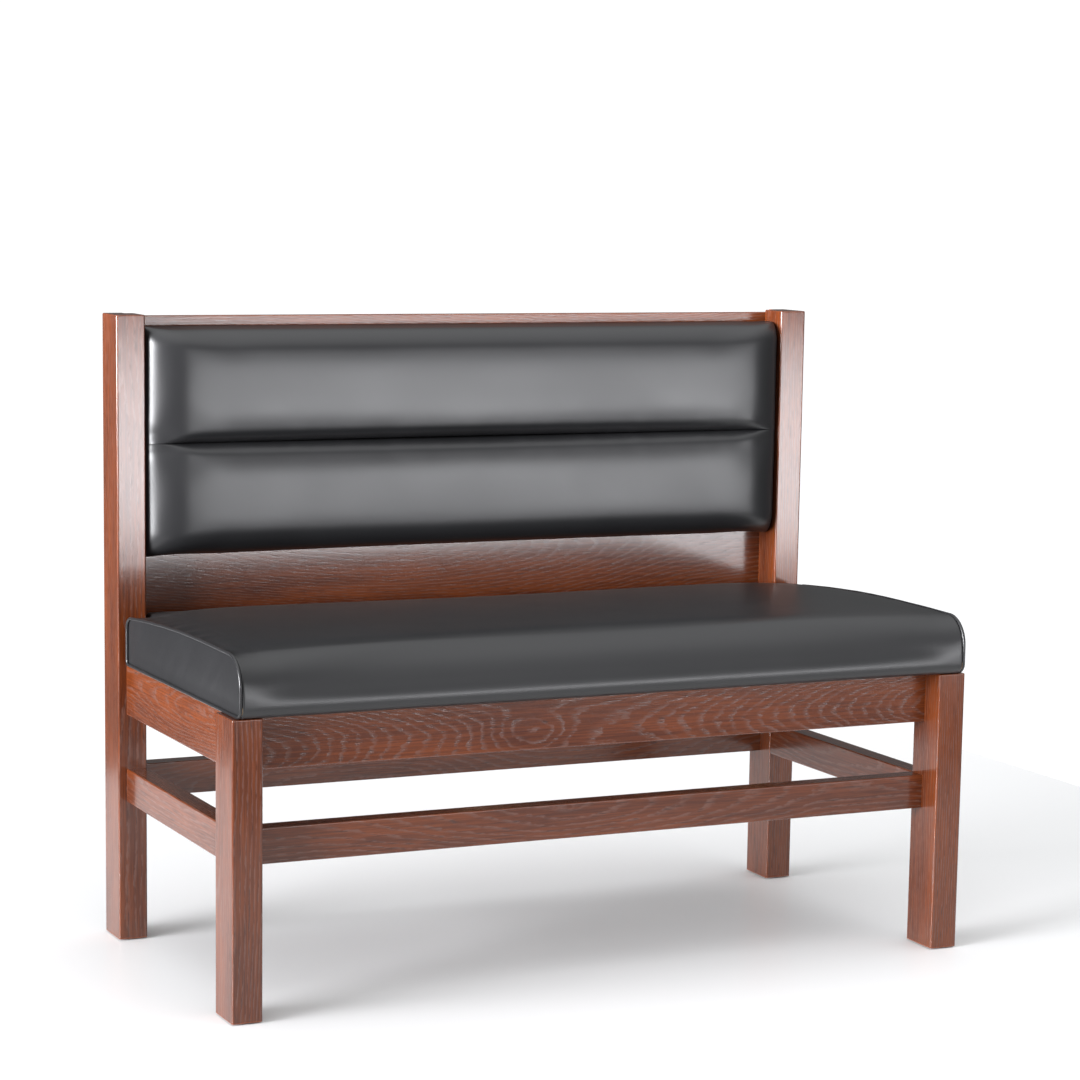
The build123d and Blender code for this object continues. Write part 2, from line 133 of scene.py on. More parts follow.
def stretch(tree, vector, factors):
    """Multiplies a vector by three numbers, one for each axis."""
    node = add(tree, "ShaderNodeVectorMath", {0: vector, 1: factors}, operation="MULTIPLY")
    return node.outputs[0]


def speckle(tree, vector, scale, detail=2.0, roughness=0.5):
    """Noise from 0 to 1."""
    inputs = {"Vector": vector, "Scale": scale, "Detail": detail, "Roughness": roughness}
    return add(tree, "ShaderNodeTexNoise", inputs).outputs[0]


def remap(tree, value, low, high, to_low=0.0, to_high=1.0):
    """A smooth step from low to high."""
    inputs = {"Value": value, 1: low, 2: high, 3: to_low, 4: to_high}
    return add(tree, "ShaderNodeMapRange", inputs, interpolation_type="SMOOTHSTEP").outputs[0]


def blend_colour(tree, factor, a, b, mode="MIX"):
    inputs = {0: factor, 6: a, 7: b}
    return add(tree, "ShaderNodeMix", inputs, data_type="RGBA", blend_type=mode).outputs[2]


def new_material(name):
    """A material with an empty tree but for its shader."""
    material = bpy.data.materials.new(name)
    material.use_nodes = True
    tree = material.node_tree
    shader = tree.nodes["Principled BSDF"]
    return material, tree, shader


def wire(tree, output, shader, socket):
    tree.links.new(output, shader.inputs[socket])


def bump(tree, height, depth, strength=1.0):
    """Turns a 0 to 1 height into a dent or ridge of that depth in metres."""
    inputs = {"Height": height, "Distance": depth, "Strength": strength}
    return add(tree, "ShaderNodeBump", inputs).outputs[0]


def rgb(red, green, blue):
    return (red, green, blue, 1.0)


# %% [markdown]
# ## The studio
#
# The pew stands on a small white floor under a soft overhead glow, which is bright above and
# dim near the horizon, so that upright faces keep their depth. The camera itself sees a plain
# white backdrop instead of the glow. Two soft boxes do the rest. A large one far to the left
# lights the left faces of the timber, and a low, wide one in front is what the lacquer and the
# vinyl mirror: it washes the upper posts and lights the rolls of the back pad. Both aim slightly
# upwards through grids that narrow their beams, so they don't flood the floor.

# %% Floor and light
scene = bpy.context.scene
scene.view_settings.view_transform = "Standard"
scene.view_settings.look = "None"

world = bpy.data.worlds.new("studio")
scene.world = world
world.use_nodes = True
sky = world.node_tree
room = sky.nodes["Background"]
direction = add(sky, "ShaderNodeTexCoord").outputs["Generated"]
facing = add(sky, "ShaderNodeVectorMath", {0: direction, 1: (0.0, -0.2, 0.98)},
             operation="DOT_PRODUCT").outputs["Value"]
zenith_glow, horizon_glow, backdrop_white = 1.85, 0.12, 1.1
glow = calc(sky, "MULTIPLY_ADD", calc(sky, "POWER", calc(sky, "MAXIMUM", facing, 0.0), 2.0),
            zenith_glow, horizon_glow)
seen = add(sky, "ShaderNodeLightPath").outputs["Is Camera Ray"]
wire(sky, remap(sky, seen, 0.0, 1.0, glow, backdrop_white), room, "Strength")
room.inputs["Color"].default_value = rgb(0.98, 0.99, 1.0)


def soft_box(name, place, target, width, height, radiance, spread):
    """An area light of a given brightness, aimed at a point, with a grid that narrows its beam."""
    light = bpy.data.lights.new(name, "AREA")
    light.shape = "RECTANGLE"
    light.size = width
    light.size_y = height
    light.energy = radiance * width * height * math.pi
    light.color = (0.965, 0.97, 1.0)
    light.spread = math.radians(spread)
    lamp = bpy.data.objects.new(name, light)
    lamp.location = place
    lamp.rotation_euler = (Vector(target) - Vector(place)).to_track_quat("-Z", "Y").to_euler()
    scene.collection.objects.link(lamp)
    return lamp


soft_box("left_box", (-5.0, -0.8, 2.0), (-0.5, 0.1, 2.95),
         width=3.4, height=3.2, radiance=18.0, spread=74)
soft_box("front_box", (1.0, -2.1, 0.44), (0.1, 0.25, 1.30),
         width=2.0, height=0.50, radiance=2.9, spread=60)

floor_half = 1.35
floor_mesh = bpy.data.meshes.new("studio_floor")
floor_mesh.from_pydata(
    [(-floor_half, -floor_half, 0), (floor_half, -floor_half, 0),
     (floor_half, floor_half, 0), (-floor_half, floor_half, 0)], [], [(0, 1, 2, 3)])
floor = bpy.data.objects.new("studio_floor", floor_mesh)
scene.collection.objects.link(floor)
floor_paint, _, floor_shader = new_material("floor_paint")
floor_shader.inputs["Base Color"].default_value = rgb(0.97, 0.97, 0.97)
floor_shader.inputs["Roughness"].default_value = 0.28
floor_shader.inputs["Specular IOR Level"].default_value = 0.3
floor.data.materials.append(floor_paint)
floor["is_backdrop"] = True
print("two soft boxes and a floor", 2 * floor_half, "m wide")

# %% [markdown]
# ## Stained ash under gloss lacquer
#
# A board is a slice of a tree, so its figure is best made the way it grows: as rings around a
# pith, cut by the faces of the board. The pattern is solid, so end grain, edges and faces agree
# at every arris. A pith that bows and dives along the board makes the pointed flames of
# flat-sawn timber, and where it turns back the rings close into ovals. A swirl is a place where
# a twig once bent the rings.
#
# Ash is ring-porous: each year starts with a band of open pores. Here the bands are greyer lines,
# with short dark pores in them, and the lacquer dips slightly over each pore. The grey of the
# bands is partly the stain and partly a painted sheen: the lacquer's reflection off the open
# pores, painted into the colour.
# Along the arrises the colour is lighter: partly stain rubbed thinner, partly a painted highlight
# where the rounded edges catch the light.

# %% Wood material
TURN_TO_GRAIN = {
    "X": (0.0, 0.0, 0.0),
    "Y": (0.0, 0.0, -math.pi / 2),
    "Z": (0.0, math.pi / 2, 0.0),
}


def edge_light(tree, radius):
    """1 along rounded edges, 0 on flat faces: the rounded normal leans away from the true one."""
    rounded = add(tree, "ShaderNodeBevel", {"Radius": radius}, samples=6).outputs[0]
    true = add(tree, "ShaderNodeNewGeometry").outputs["Normal"]
    same = add(tree, "ShaderNodeVectorMath", {0: rounded, 1: true}, operation="DOT_PRODUCT")
    return remap(tree, same.outputs["Value"], 1.0, 0.9)


def stained_wood(name, grain, pith, bow=0.012, dive=0.01, bow_length=0.5, bow_phase=0.0,
                 ring=0.0034, swirl=None,
                 deep=(0.054, 0.0105, 0.0025), warm=(0.155, 0.034, 0.0060),
                 band_and_sheen=(0.135, 0.066, 0.050)):
    """Lacquered, stained ash whose grain runs along one axis, with the pith beside the board.

    bow swings the pith up and down along the board, dive swings it towards the face, and swirl
    is (point, reach, lift): a place where a twig bent the rings.
    """
    material, tree, shader = new_material(name)
    place = add(tree, "ShaderNodeTexCoord").outputs["Object"]
    log = add(tree, "ShaderNodeMapping", {
        "Vector": place, "Location": [-p for p in pith], "Rotation": TURN_TO_GRAIN[grain]})
    along = add(tree, "ShaderNodeSeparateXYZ", {0: log.outputs[0]})

    swing = calc(tree, "MULTIPLY_ADD", along.outputs[0], math.tau / bow_length, bow_phase)
    lean = calc(tree, "MULTIPLY", calc(tree, "SINE", swing), bow)
    plunge = calc(tree, "MULTIPLY", calc(tree, "COSINE", swing), dive)
    height = calc(tree, "ADD", along.outputs[2], lean)
    depth = calc(tree, "ADD", along.outputs[1], plunge)
    squares = calc(tree, "ADD", calc(tree, "POWER", calc(tree, "ABSOLUTE", depth), 2.0),
                   calc(tree, "POWER", calc(tree, "ABSOLUTE", height), 2.0))
    wander = speckle(tree, stretch(tree, log.outputs[0], (3.5, 13.0, 13.0)), 1.0, 3.0)
    jitter = speckle(tree, stretch(tree, log.outputs[0], (70.0, 190.0, 190.0)), 1.0, 2.0)
    wobble = calc(tree, "ADD", calc(tree, "MULTIPLY_ADD", wander, 0.016, -0.008),
                  calc(tree, "MULTIPLY_ADD", jitter, 0.0022, -0.0011))
    radius = calc(tree, "ADD", calc(tree, "SQRT", squares), wobble)
    if swirl:
        point, reach, lift = swirl
        offset = add(tree, "ShaderNodeVectorMath", {0: place, 1: point}, operation="SUBTRACT")
        span = add(tree, "ShaderNodeVectorMath", {
            0: stretch(tree, offset.outputs[0], [1 / r for r in reach])}, operation="LENGTH")
        swell = calc(tree, "EXPONENT", calc(tree, "MULTIPLY", calc(
            tree, "POWER", span.outputs["Value"], 2.0), -1.0))
        radius = calc(tree, "MULTIPLY_ADD", swell, lift, radius)
    year = calc(tree, "FRACT", calc(tree, "DIVIDE", radius, ring))
    spring = calc(tree, "MULTIPLY", remap(tree, year, 0.0, 0.15), remap(tree, year, 0.55, 0.2))

    fibre = speckle(tree, stretch(tree, log.outputs[0], (13.0, 520.0, 520.0)), 1.0, 3.0, 0.6)
    pore_noise = speckle(tree, stretch(tree, log.outputs[0], (48.0, 900.0, 900.0)), 1.0, 1.0)
    pores = calc(tree, "MULTIPLY", remap(tree, pore_noise, 0.56, 0.66),
                 calc(tree, "MULTIPLY_ADD", spring, 0.7, 0.3))
    patch = speckle(tree, stretch(tree, log.outputs[0], (2.2, 16.0, 16.0)), 1.0, 3.0, 0.6)

    tone = calc(tree, "MULTIPLY_ADD", remap(tree, patch, 0.3, 0.7), 0.55,
                calc(tree, "MULTIPLY", remap(tree, fibre, 0.62, 0.38), 0.45))
    colour = blend_colour(tree, tone, rgb(*deep), rgb(*warm))
    # Earlywood bands: a greyer colour, partly the stain and partly a painted sheen of the lacquer
    # over the open pores.
    colour = blend_colour(tree, calc(tree, "MULTIPLY", calc(
        tree, "MULTIPLY", spring, remap(tree, jitter, 0.35, 0.6, 0.2, 1.0)), 0.6),
        colour, rgb(*band_and_sheen))
    colour = blend_colour(tree, calc(tree, "MULTIPLY", pores, 0.6), colour,
                          rgb(0.016, 0.005, 0.003))
    # Arrises: a lighter colour, partly stain rubbed thin and partly a painted highlight on the
    # rounded edges.
    worn_and_highlight = [c * 2.2 for c in warm]
    colour = blend_colour(tree, calc(tree, "MULTIPLY", edge_light(tree, 2.2 * MM), 0.75),
                          colour, rgb(*worn_and_highlight))
    wire(tree, colour, shader, "Base Color")

    relief = calc(tree, "SUBTRACT", calc(tree, "MULTIPLY", fibre, 0.25),
                  calc(tree, "MULTIPLY_ADD", pores, 0.8, calc(tree, "MULTIPLY", spring, 0.25)))
    wire(tree, bump(tree, relief, 0.12 * MM, 0.5), shader, "Normal")
    wire(tree, bump(tree, relief, 0.12 * MM, 0.22), shader, "Coat Normal")
    wire(tree, calc(tree, "MULTIPLY_ADD", fibre, 0.16, 0.34), shader, "Roughness")
    shader.inputs["Specular IOR Level"].default_value = 0.1
    shader.inputs["Coat Weight"].default_value = 1.0
    shader.inputs["Coat Roughness"].default_value = 0.16
    shader.inputs["Coat IOR"].default_value = 1.5
    return material


# %% [markdown]
# Each board is cut from its own part of the tree. The pith lies a few centimetres outside the
# board, in the direction of the face that should show flames, and every board gets its own bow,
# so no two figures match.

# %% Dress the timber
def middle(node):
    low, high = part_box(node)
    return (low + high) / 2


def grain_frame(point, grain):
    """A point's coordinates once the grain has been turned along X."""
    turn = Matrix.Rotation(TURN_TO_GRAIN[grain][1], 3, "Y") @ Matrix.Rotation(
        TURN_TO_GRAIN[grain][2], 3, "Z")
    return turn @ Vector(point)


def dress(node, material):
    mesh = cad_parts[node].data
    mesh.materials.clear()
    mesh.materials.append(material)


TIMBER = [
    # node, grain, pith beside the middle (m), bow, dive, bow length, bow phase, ring
    ("front_leg_left", "Z", (0.030, 0.055), 0.004, 0.003, 0.90, 0.3, 0.0040),
    ("front_leg_right", "Z", (-0.045, 0.050), 0.005, 0.004, 0.80, 1.9, 0.0036),
    ("back_post_left", "Z", (0.060, 0.040), 0.004, 0.003, 1.30, 0.8, 0.0038),
    ("back_post_right", "Z", (-0.050, 0.055), 0.005, 0.004, 1.10, 2.6, 0.0036),
    ("seat_rail_front", "X", (0.052, -0.012), 0.006, 0.036, 1.50, -2.9, 0.0030),
    ("seat_rail_back", "X", (0.050, 0.010), 0.006, 0.016, 0.90, 0.0, 0.0034),
    ("seat_rail_left", "Y", (0.045, 0.020), 0.005, 0.008, 0.60, 1.0, 0.0034),
    ("seat_rail_right", "Y", (-0.045, -0.015), 0.005, 0.008, 0.60, 2.0, 0.0034),
    ("stretcher_front", "X", (0.060, 0.030), 0.006, 0.012, 0.85, 0.6, 0.0036),
    ("stretcher_back", "X", (0.055, -0.030), 0.006, 0.012, 0.75, 1.4, 0.0036),
    ("stretcher_left", "Y", (0.060, 0.030), 0.004, 0.006, 0.70, 0.5, 0.0036),
    ("stretcher_right", "Y", (-0.055, 0.030), 0.004, 0.006, 0.70, 2.4, 0.0036),
]
rail = middle("seat_rail_front")
SWIRLS = {"seat_rail_front": ((rail.x - 0.11, rail.y - 0.014, rail.z - 0.008),
                              (0.060, 0.060, 0.026), 0.014)}

for node, grain, beside, bow, dive, bow_length, phase, ring in TIMBER:
    centre = grain_frame(middle(node), grain)
    pith = (centre.x, centre.y + beside[0], centre.z + beside[1])
    dress(node, stained_wood(f"ash_{node}", grain, pith, bow, dive, bow_length, phase, ring,
                             SWIRLS.get(node)))

panel_middle = middle("back_panel")
dress("back_panel", stained_wood(
    "ash_veneer", "X", (panel_middle.x, panel_middle.y + 0.085, panel_middle.z - 0.06),
    bow=0.02, dive=0.03, bow_length=1.3, bow_phase=0.9, ring=0.0034))
print(len(TIMBER) + 1, "boards dressed")


# %% [markdown]
# ## Bare timber, plywood, metal and nylon
#
# What nobody sees from the seat is left as it comes: beech blocks and bearer straight from the
# saw, birch plywood with its plies at the edge, zinc-plated screws and moulded nylon glides.

# %% Hidden finishes
def bare_wood(name, grain, light, dark):
    material, tree, shader = new_material(name)
    place = add(tree, "ShaderNodeTexCoord").outputs["Object"]
    turned = add(tree, "ShaderNodeMapping", {
        "Vector": place, "Rotation": TURN_TO_GRAIN[grain]}).outputs[0]
    streak = speckle(tree, stretch(tree, turned, (9.0, 260.0, 260.0)), 1.0, 4.0, 0.6)
    fleck = speckle(tree, stretch(tree, turned, (120.0, 900.0, 900.0)), 1.0, 1.0)
    colour = blend_colour(tree, remap(tree, streak, 0.3, 0.7), rgb(*dark), rgb(*light))
    colour = blend_colour(tree, calc(tree, "MULTIPLY", remap(tree, fleck, 0.62, 0.7), 0.5),
                          colour, rgb(*[c * 0.55 for c in dark]))
    wire(tree, colour, shader, "Base Color")
    wire(tree, bump(tree, streak, 0.15 * MM, 0.6), shader, "Normal")
    shader.inputs["Roughness"].default_value = 0.7
    return material


def plywood(name):
    """Rotary-cut faces, with light and dark plies where the edge shows."""
    material, tree, shader = new_material(name)
    place = add(tree, "ShaderNodeTexCoord").outputs["Object"]
    ply = add(tree, "ShaderNodeTexWave", {"Vector": place, "Scale": 105.0, "Distortion": 0.4},
              wave_type="BANDS", bands_direction="Z").outputs["Fac"]
    streak = speckle(tree, stretch(tree, place, (6.0, 130.0, 300.0)), 1.0, 4.0)
    colour = blend_colour(tree, remap(tree, streak, 0.3, 0.7), rgb(0.40, 0.25, 0.13),
                          rgb(0.55, 0.38, 0.22))
    colour = blend_colour(tree, calc(tree, "MULTIPLY", ply, 0.35), colour, rgb(0.22, 0.12, 0.06))
    wire(tree, colour, shader, "Base Color")
    wire(tree, bump(tree, streak, 0.1 * MM, 0.5), shader, "Normal")
    shader.inputs["Roughness"].default_value = 0.62
    return material


def metal(name, colour, roughness):
    material, tree, shader = new_material(name)
    place = add(tree, "ShaderNodeTexCoord").outputs["Object"]
    cloud = speckle(tree, place, 420.0, 3.0)
    tone = blend_colour(tree, cloud, rgb(*[c * 0.8 for c in colour]), rgb(*colour))
    wire(tree, tone, shader, "Base Color")
    wire(tree, calc(tree, "MULTIPLY_ADD", cloud, 0.2, roughness), shader, "Roughness")
    wire(tree, bump(tree, speckle(tree, place, 1500.0), 0.02 * MM, 0.4), shader, "Normal")
    shader.inputs["Metallic"].default_value = 1.0
    return material


def moulded(name, colour):
    material, tree, shader = new_material(name)
    place = add(tree, "ShaderNodeTexCoord").outputs["Object"]
    grit = speckle(tree, place, 1800.0, 2.0)
    tone = blend_colour(tree, grit, rgb(*[c * 0.8 for c in colour]),
                        rgb(*[c * 1.2 for c in colour]))
    wire(tree, tone, shader, "Base Color")
    wire(tree, bump(tree, grit, 0.03 * MM, 0.5), shader, "Normal")
    shader.inputs["Roughness"].default_value = 0.42
    return material


beech_light, beech_dark = (0.62, 0.42, 0.25), (0.50, 0.31, 0.17)
beech_y = bare_wood("beech_bearer", "Y", beech_light, beech_dark)
beech_x = bare_wood("beech_block", "X", beech_light, beech_dark)
beech_dowel = bare_wood("beech_dowel", "X", (0.66, 0.47, 0.29), (0.55, 0.36, 0.20))
birch_ply = plywood("birch_plywood")
zinc = metal("zinc_plate", (0.72, 0.70, 0.64), 0.28)
wire_steel = metal("staple_steel", (0.62, 0.62, 0.62), 0.3)
nylon = moulded("black_nylon", (0.022, 0.021, 0.021))

dress("seat_bearer", beech_y)
for end in ("front", "back"):
    for side in ("left", "right"):
        dress(f"corner_block_{end}_{side}", beech_x)
        dress(f"glide_{end}_{side}", nylon)
for node in ("rail_dowels", "stretcher_dowels", "bearer_dowels"):
    dress(node, beech_dowel)
for node in ("seat_board", "pad_board"):
    dress(node, birch_ply)
print("hidden parts dressed")

# %% [markdown]
# ## Upholstery vinyl
#
# Coated cloth has a fine pebbled grain, a satin shine and very little colour of its own. The
# grain is two sizes of cells pressed into the surface; larger, fainter clouds vary the shine
# where hands and coats have polished it.

# %% Vinyl and cloth
def vinyl(name, colour, roughness, grain_depth):
    material, tree, shader = new_material(name)
    place = add(tree, "ShaderNodeTexCoord").outputs["Object"]
    cells = add(tree, "ShaderNodeTexVoronoi", {"Vector": place, "Scale": 950.0},
                feature="SMOOTH_F1").outputs["Distance"]
    fine = speckle(tree, place, 2600.0, 2.0)
    cloud = speckle(tree, place, 9.0, 3.0)
    relief = calc(tree, "MULTIPLY_ADD", cells, 0.7, calc(tree, "MULTIPLY", fine, 0.3))
    wire(tree, bump(tree, relief, grain_depth, 0.6), shader, "Normal")
    tone = blend_colour(tree, cloud, rgb(*[c * 0.85 for c in colour]),
                        rgb(*[c * 1.15 for c in colour]))
    wire(tree, tone, shader, "Base Color")
    shine = calc(tree, "MULTIPLY_ADD", cloud, 0.08, roughness - 0.04)
    wire(tree, shine, shader, "Roughness")
    shader.inputs["Specular IOR Level"].default_value = 0.5
    return material


black_vinyl = vinyl("black_vinyl", (0.012, 0.012, 0.013), 0.35, 0.05 * MM)
welt_vinyl = vinyl("welt_vinyl", (0.013, 0.013, 0.014), 0.30, 0.03 * MM)


def spun_cloth(name):
    """Spun-bonded cloth: a thin felt pressed with a grid of small dots."""
    material, tree, shader = new_material(name)
    place = add(tree, "ShaderNodeTexCoord").outputs["Object"]
    dots = add(tree, "ShaderNodeTexVoronoi", {"Vector": place, "Scale": 650.0, "Randomness": 0.1})
    pressed = remap(tree, dots.outputs["Distance"], 0.2, 0.35)
    felt = speckle(tree, place, 2200.0, 3.0)
    tone = blend_colour(tree, pressed, rgb(0.035, 0.035, 0.036), rgb(0.012, 0.012, 0.012))
    wire(tree, tone, shader, "Base Color")
    relief = calc(tree, "MULTIPLY_ADD", pressed, 0.6, calc(tree, "MULTIPLY", felt, 0.4))
    wire(tree, bump(tree, relief, 0.08 * MM, 0.8), shader, "Normal")
    shader.inputs["Roughness"].default_value = 0.9
    shader.inputs["Sheen Weight"].default_value = 0.2
    return material


dust_cloth = spun_cloth("dust_cloth")
print("soft finishes ready")

# %% [markdown]
# ## Cushions: a grid that is blown up a little
#
# A cushion is foam wrapped in a skin that is cut slightly small, so it swells everywhere except
# along its seams. The starting mesh is a regular grid a few millimetres inside the finished
# shape. Its seams are pinned and a Cloth simulation blows the rest up for twenty frames. How far
# each point may travel is limited, because foam stops where its cover is tight.

# %% Grid, cloth and finishing helpers
def place_in_scene(name, mesh):
    piece = bpy.data.objects.new(name, mesh)
    scene.collection.objects.link(piece)
    return piece


def shade_smooth(mesh):
    mesh.polygons.foreach_set("use_smooth", [True] * len(mesh.polygons))


def as_object(name, points, faces, material):
    mesh = bpy.data.meshes.new(name)
    mesh.from_pydata([tuple(p) for p in points], [], faces)
    mesh.materials.append(material)
    shade_smooth(mesh)
    return place_in_scene(name, mesh)


def read_points(mesh):
    points = np.zeros(len(mesh.vertices) * 3)
    mesh.vertices.foreach_get("co", points)
    return points.reshape(-1, 3)


def write_points(mesh, points):
    mesh.vertices.foreach_set("co", np.asarray(points).ravel())
    mesh.update()


def even_out(mesh, travel, pins, rounds):
    """Averages each point's travel with its neighbours', as foam under the skin does."""
    edges = np.zeros(len(mesh.edges) * 2, int)
    mesh.edges.foreach_get("vertices", edges)
    first, second = edges.reshape(-1, 2).T
    count = np.zeros(len(travel))
    np.add.at(count, first, 1)
    np.add.at(count, second, 1)
    for _ in range(rounds):
        around = np.zeros_like(travel)
        for axis in range(3):
            around[:, axis] = (np.bincount(first, travel[second, axis], len(travel))
                               + np.bincount(second, travel[first, axis], len(travel)))
        travel = 0.4 * travel + 0.6 * around / np.maximum(count, 1)[:, None]
        travel[pins] = 0.0
    return travel


def blow_up(piece, pins, limits, pressure=4.0, frames=20, evening=12):
    """Runs Cloth on the piece. pins are the points that stay, limits the travel of each point."""
    start = read_points(piece.data)
    held = piece.vertex_groups.new(name="seams")
    held.add([int(i) for i in pins], 1.0, "REPLACE")
    cloth = piece.modifiers.new("stuffing", "CLOTH")
    cloth.settings.quality = 6
    cloth.settings.mass = 0.3
    cloth.settings.tension_stiffness = 18
    cloth.settings.compression_stiffness = 18
    cloth.settings.shear_stiffness = 8
    cloth.settings.bending_stiffness = 0.8
    cloth.settings.use_pressure = True
    cloth.settings.uniform_pressure_force = pressure
    cloth.settings.effector_weights.gravity = 0
    cloth.settings.vertex_group_mass = "seams"
    cloth.collision_settings.use_collision = False
    cloth.point_cache.frame_start = 1
    cloth.point_cache.frame_end = frames
    for step in range(1, frames + 1):
        scene.frame_set(step)
    swollen = read_points(piece.evaluated_get(bpy.context.evaluated_depsgraph_get()).to_mesh())
    piece.modifiers.remove(cloth)
    piece.vertex_groups.remove(held)
    scene.frame_set(1)
    travel = swollen - start
    length = np.linalg.norm(travel, axis=1, keepdims=True)
    room = np.maximum(np.asarray(limits).reshape(-1, 1), 1e-6)
    travel *= room * np.tanh(length / room) / np.maximum(length, 1e-9)
    travel = even_out(piece.data, travel, pins, evening)
    write_points(piece.data, start + travel)
    print(f"{piece.name}: swelled {1000 * np.linalg.norm(travel, axis=1).max():.1f} mm at most, "
          f"{1000 * length.max():.1f} mm if free")


def plain(piece):
    """Turns the object with its modifiers into one plain mesh."""
    depsgraph = bpy.context.evaluated_depsgraph_get()
    mesh = bpy.data.meshes.new_from_object(piece.evaluated_get(depsgraph))
    piece.modifiers.clear()
    piece.data = mesh
    return piece


def smooth_once(piece):
    divide = piece.modifiers.new("smooth", "SUBSURF")
    divide.levels = divide.render_levels = 1
    plain(piece)
    shade_smooth(piece.data)


def face_outwards(piece):
    shell = bmesh.new()
    shell.from_mesh(piece.data)
    bmesh.ops.recalc_face_normals(shell, faces=shell.faces)
    shell.to_mesh(piece.data)
    shell.free()


# %% [markdown]
# ### The outline of the seat cushion
#
# Seen from its end the seat is a rounded slab: a bull nose at the front, a flat underside, and a
# top that is highest above the front rail and falls towards the back. The outline is walked in
# eight stretches, each with a fixed number of points, so that outlines of different lengths can
# be joined point to point.

# %% Seat outline
welt_low, welt_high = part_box("seat_welt_left")
cover_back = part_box("seat_cover")[1].y
welt_radius = (welt_high.x - welt_low.x) / 2
seat_front, seat_back = welt_low.y, welt_high.y
seat_bottom, seat_top = welt_low.z, welt_high.z
back_fall = 14 * MM             # the top at the rear seam, below its highest line
front_fall = 2 * MM
crest = -0.10                   # the highest line, measured from the pew's middle
NOSE_TOP, NOSE_BOTTOM, REAR_TOP, REAR_BOTTOM = 40 * MM, 14 * MM, 18 * MM, 8 * MM

BOTTOM, NOSE_LOW, FRONT, NOSE_HIGH, TOP, HEEL_HIGH, REAR, HEEL_LOW = 56, 6, 6, 10, 56, 8, 8, 6


def top_height(y, z, rear):
    """Lowers the upper side towards the back and a little towards the front."""
    share = (z - seat_bottom) / (seat_top - seat_bottom)
    behind = max(0.0, (y - crest) / (rear - crest))
    ahead = max(0.0, (crest - y) / (crest - seat_front))
    return z - share * (back_fall * behind ** 2 + front_fall * ahead ** 2)


def arc(centre, radius, first, last, count):
    """Points round an arc, without its last one; angles in quarter turns."""
    turns = [first + (last - first) * i / count for i in range(count)]
    return [(centre[0] + radius * math.cos(t * math.pi / 2),
             centre[1] + radius * math.sin(t * math.pi / 2)) for t in turns]


def line(start, end, count):
    return [(start[0] + (end[0] - start[0]) * i / count,
             start[1] + (end[1] - start[1]) * i / count) for i in range(count)]


def seat_outline(rear, inset):
    """The closed outline (y, z) of the seat, inset all round, from the rear of the underside."""
    front, back = seat_front + inset, rear - inset
    low, high = seat_bottom + inset, seat_top - inset
    nose, chin = NOSE_TOP - inset, NOSE_BOTTOM - inset
    heel, sole = REAR_TOP - inset, REAR_BOTTOM - inset
    path = line((back - sole, low), (front + chin, low), BOTTOM)
    path += arc((front + chin, low + chin), chin, -1, -2, NOSE_LOW)
    path += line((front, low + chin), (front, high - nose), FRONT)
    path += arc((front + nose, high - nose), nose, 2, 1, NOSE_HIGH)
    path += line((front + nose, high), (back - heel, high), TOP)
    path += arc((back - heel, high - heel), heel, 1, 0, HEEL_HIGH)
    path += line((back, high - heel), (back, low + sole), REAR)
    path += arc((back - sole, low + sole), sole, 0, -1, HEEL_LOW)
    return [(y, top_height(y, z, rear)) for y, z in path]


outline_count = len(seat_outline(seat_back, 0.0))
print(f"seat outline of {outline_count} points, "
      f"seat {1000 * (seat_top - seat_bottom):.0f} mm thick")

# %% [markdown]
# ### The seat cushion
#
# The wrap is a tube of outlines from one end to the other. Between the posts it is deeper than
# at its ends, so the outline's rear moves back over a few millimetres. Each end is closed by a
# patch that is stretched between the four sides of the end outline: that is the boxed end panel.

# %% Seat cushion
skin_inset = 0.1 * MM            # over the board, which the skin covers closely
seam_inset = 1.8 * MM            # elsewhere at the welts, so that the piping stands proud
swell_inset = 3.2 * MM           # elsewhere, room for the foam to swell into
swell_room = 8 * MM
board_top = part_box("seat_board")[1].z
notch_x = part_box("back_post_right")[0].x - 8 * MM    # where the rear steps back, at the posts
end_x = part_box("seat_end_right")[1].x - 0.2 * MM


def stations(end, coarse, fine, reach):
    """Places along the pew, closer together near both ends and near the notch for the posts."""
    spots = set(np.round(np.arange(-end + reach, end - reach + coarse / 2, coarse), 6))
    for edge in (-1, 1):
        spots |= set(np.round(edge * (end - np.arange(0, reach, fine)), 6))
        spots |= set(np.round(edge * (notch_x + np.arange(-4, 5) * 1.5 * MM), 6))
    ordered = sorted(spots)
    kept = [ordered[0]]
    for x in ordered[1:]:
        if x - kept[-1] > 0.9 * MM:
            kept.append(x)
    kept[-1] = ordered[-1]
    return kept


def notch_rear(x):
    """The rear of the cushion: further back between the posts."""
    share = min(1.0, max(0.0, (notch_x + 5 * MM - abs(x)) / (6 * MM)))
    return seat_back + (cover_back - seat_back) * share


def over_board(z):
    """0 where the board backs the skin, rising to 1 where there is only foam behind it."""
    share = min(1.0, max(0.0, (z - board_top - 3 * MM) / (34 * MM)))
    return share * share * (3 - 2 * share)


def seat_section(x):
    """The outline at x: close over the board, further in above it."""
    inside = min(1.0, (end_x - abs(x)) / 0.03)
    close = seat_outline(notch_rear(x), skin_inset)
    deep = seat_outline(notch_rear(x), seam_inset + (swell_inset - seam_inset) * inside)
    section = []
    for (y, z), (deep_y, deep_z) in zip(close, deep):
        share = over_board(z)
        section.append((x, y + (deep_y - y) * share, z + (deep_z - z) * share))
    return section


seat_stations = stations(end_x, 8 * MM, 3.5 * MM, 0.07)
points = [p for x in seat_stations for p in seat_section(x)]
ring = outline_count
faces = []
for i in range(len(seat_stations) - 1):
    for j in range(ring):
        k = (j + 1) % ring
        faces.append((i * ring + j, i * ring + k, (i + 1) * ring + k, (i + 1) * ring + j))


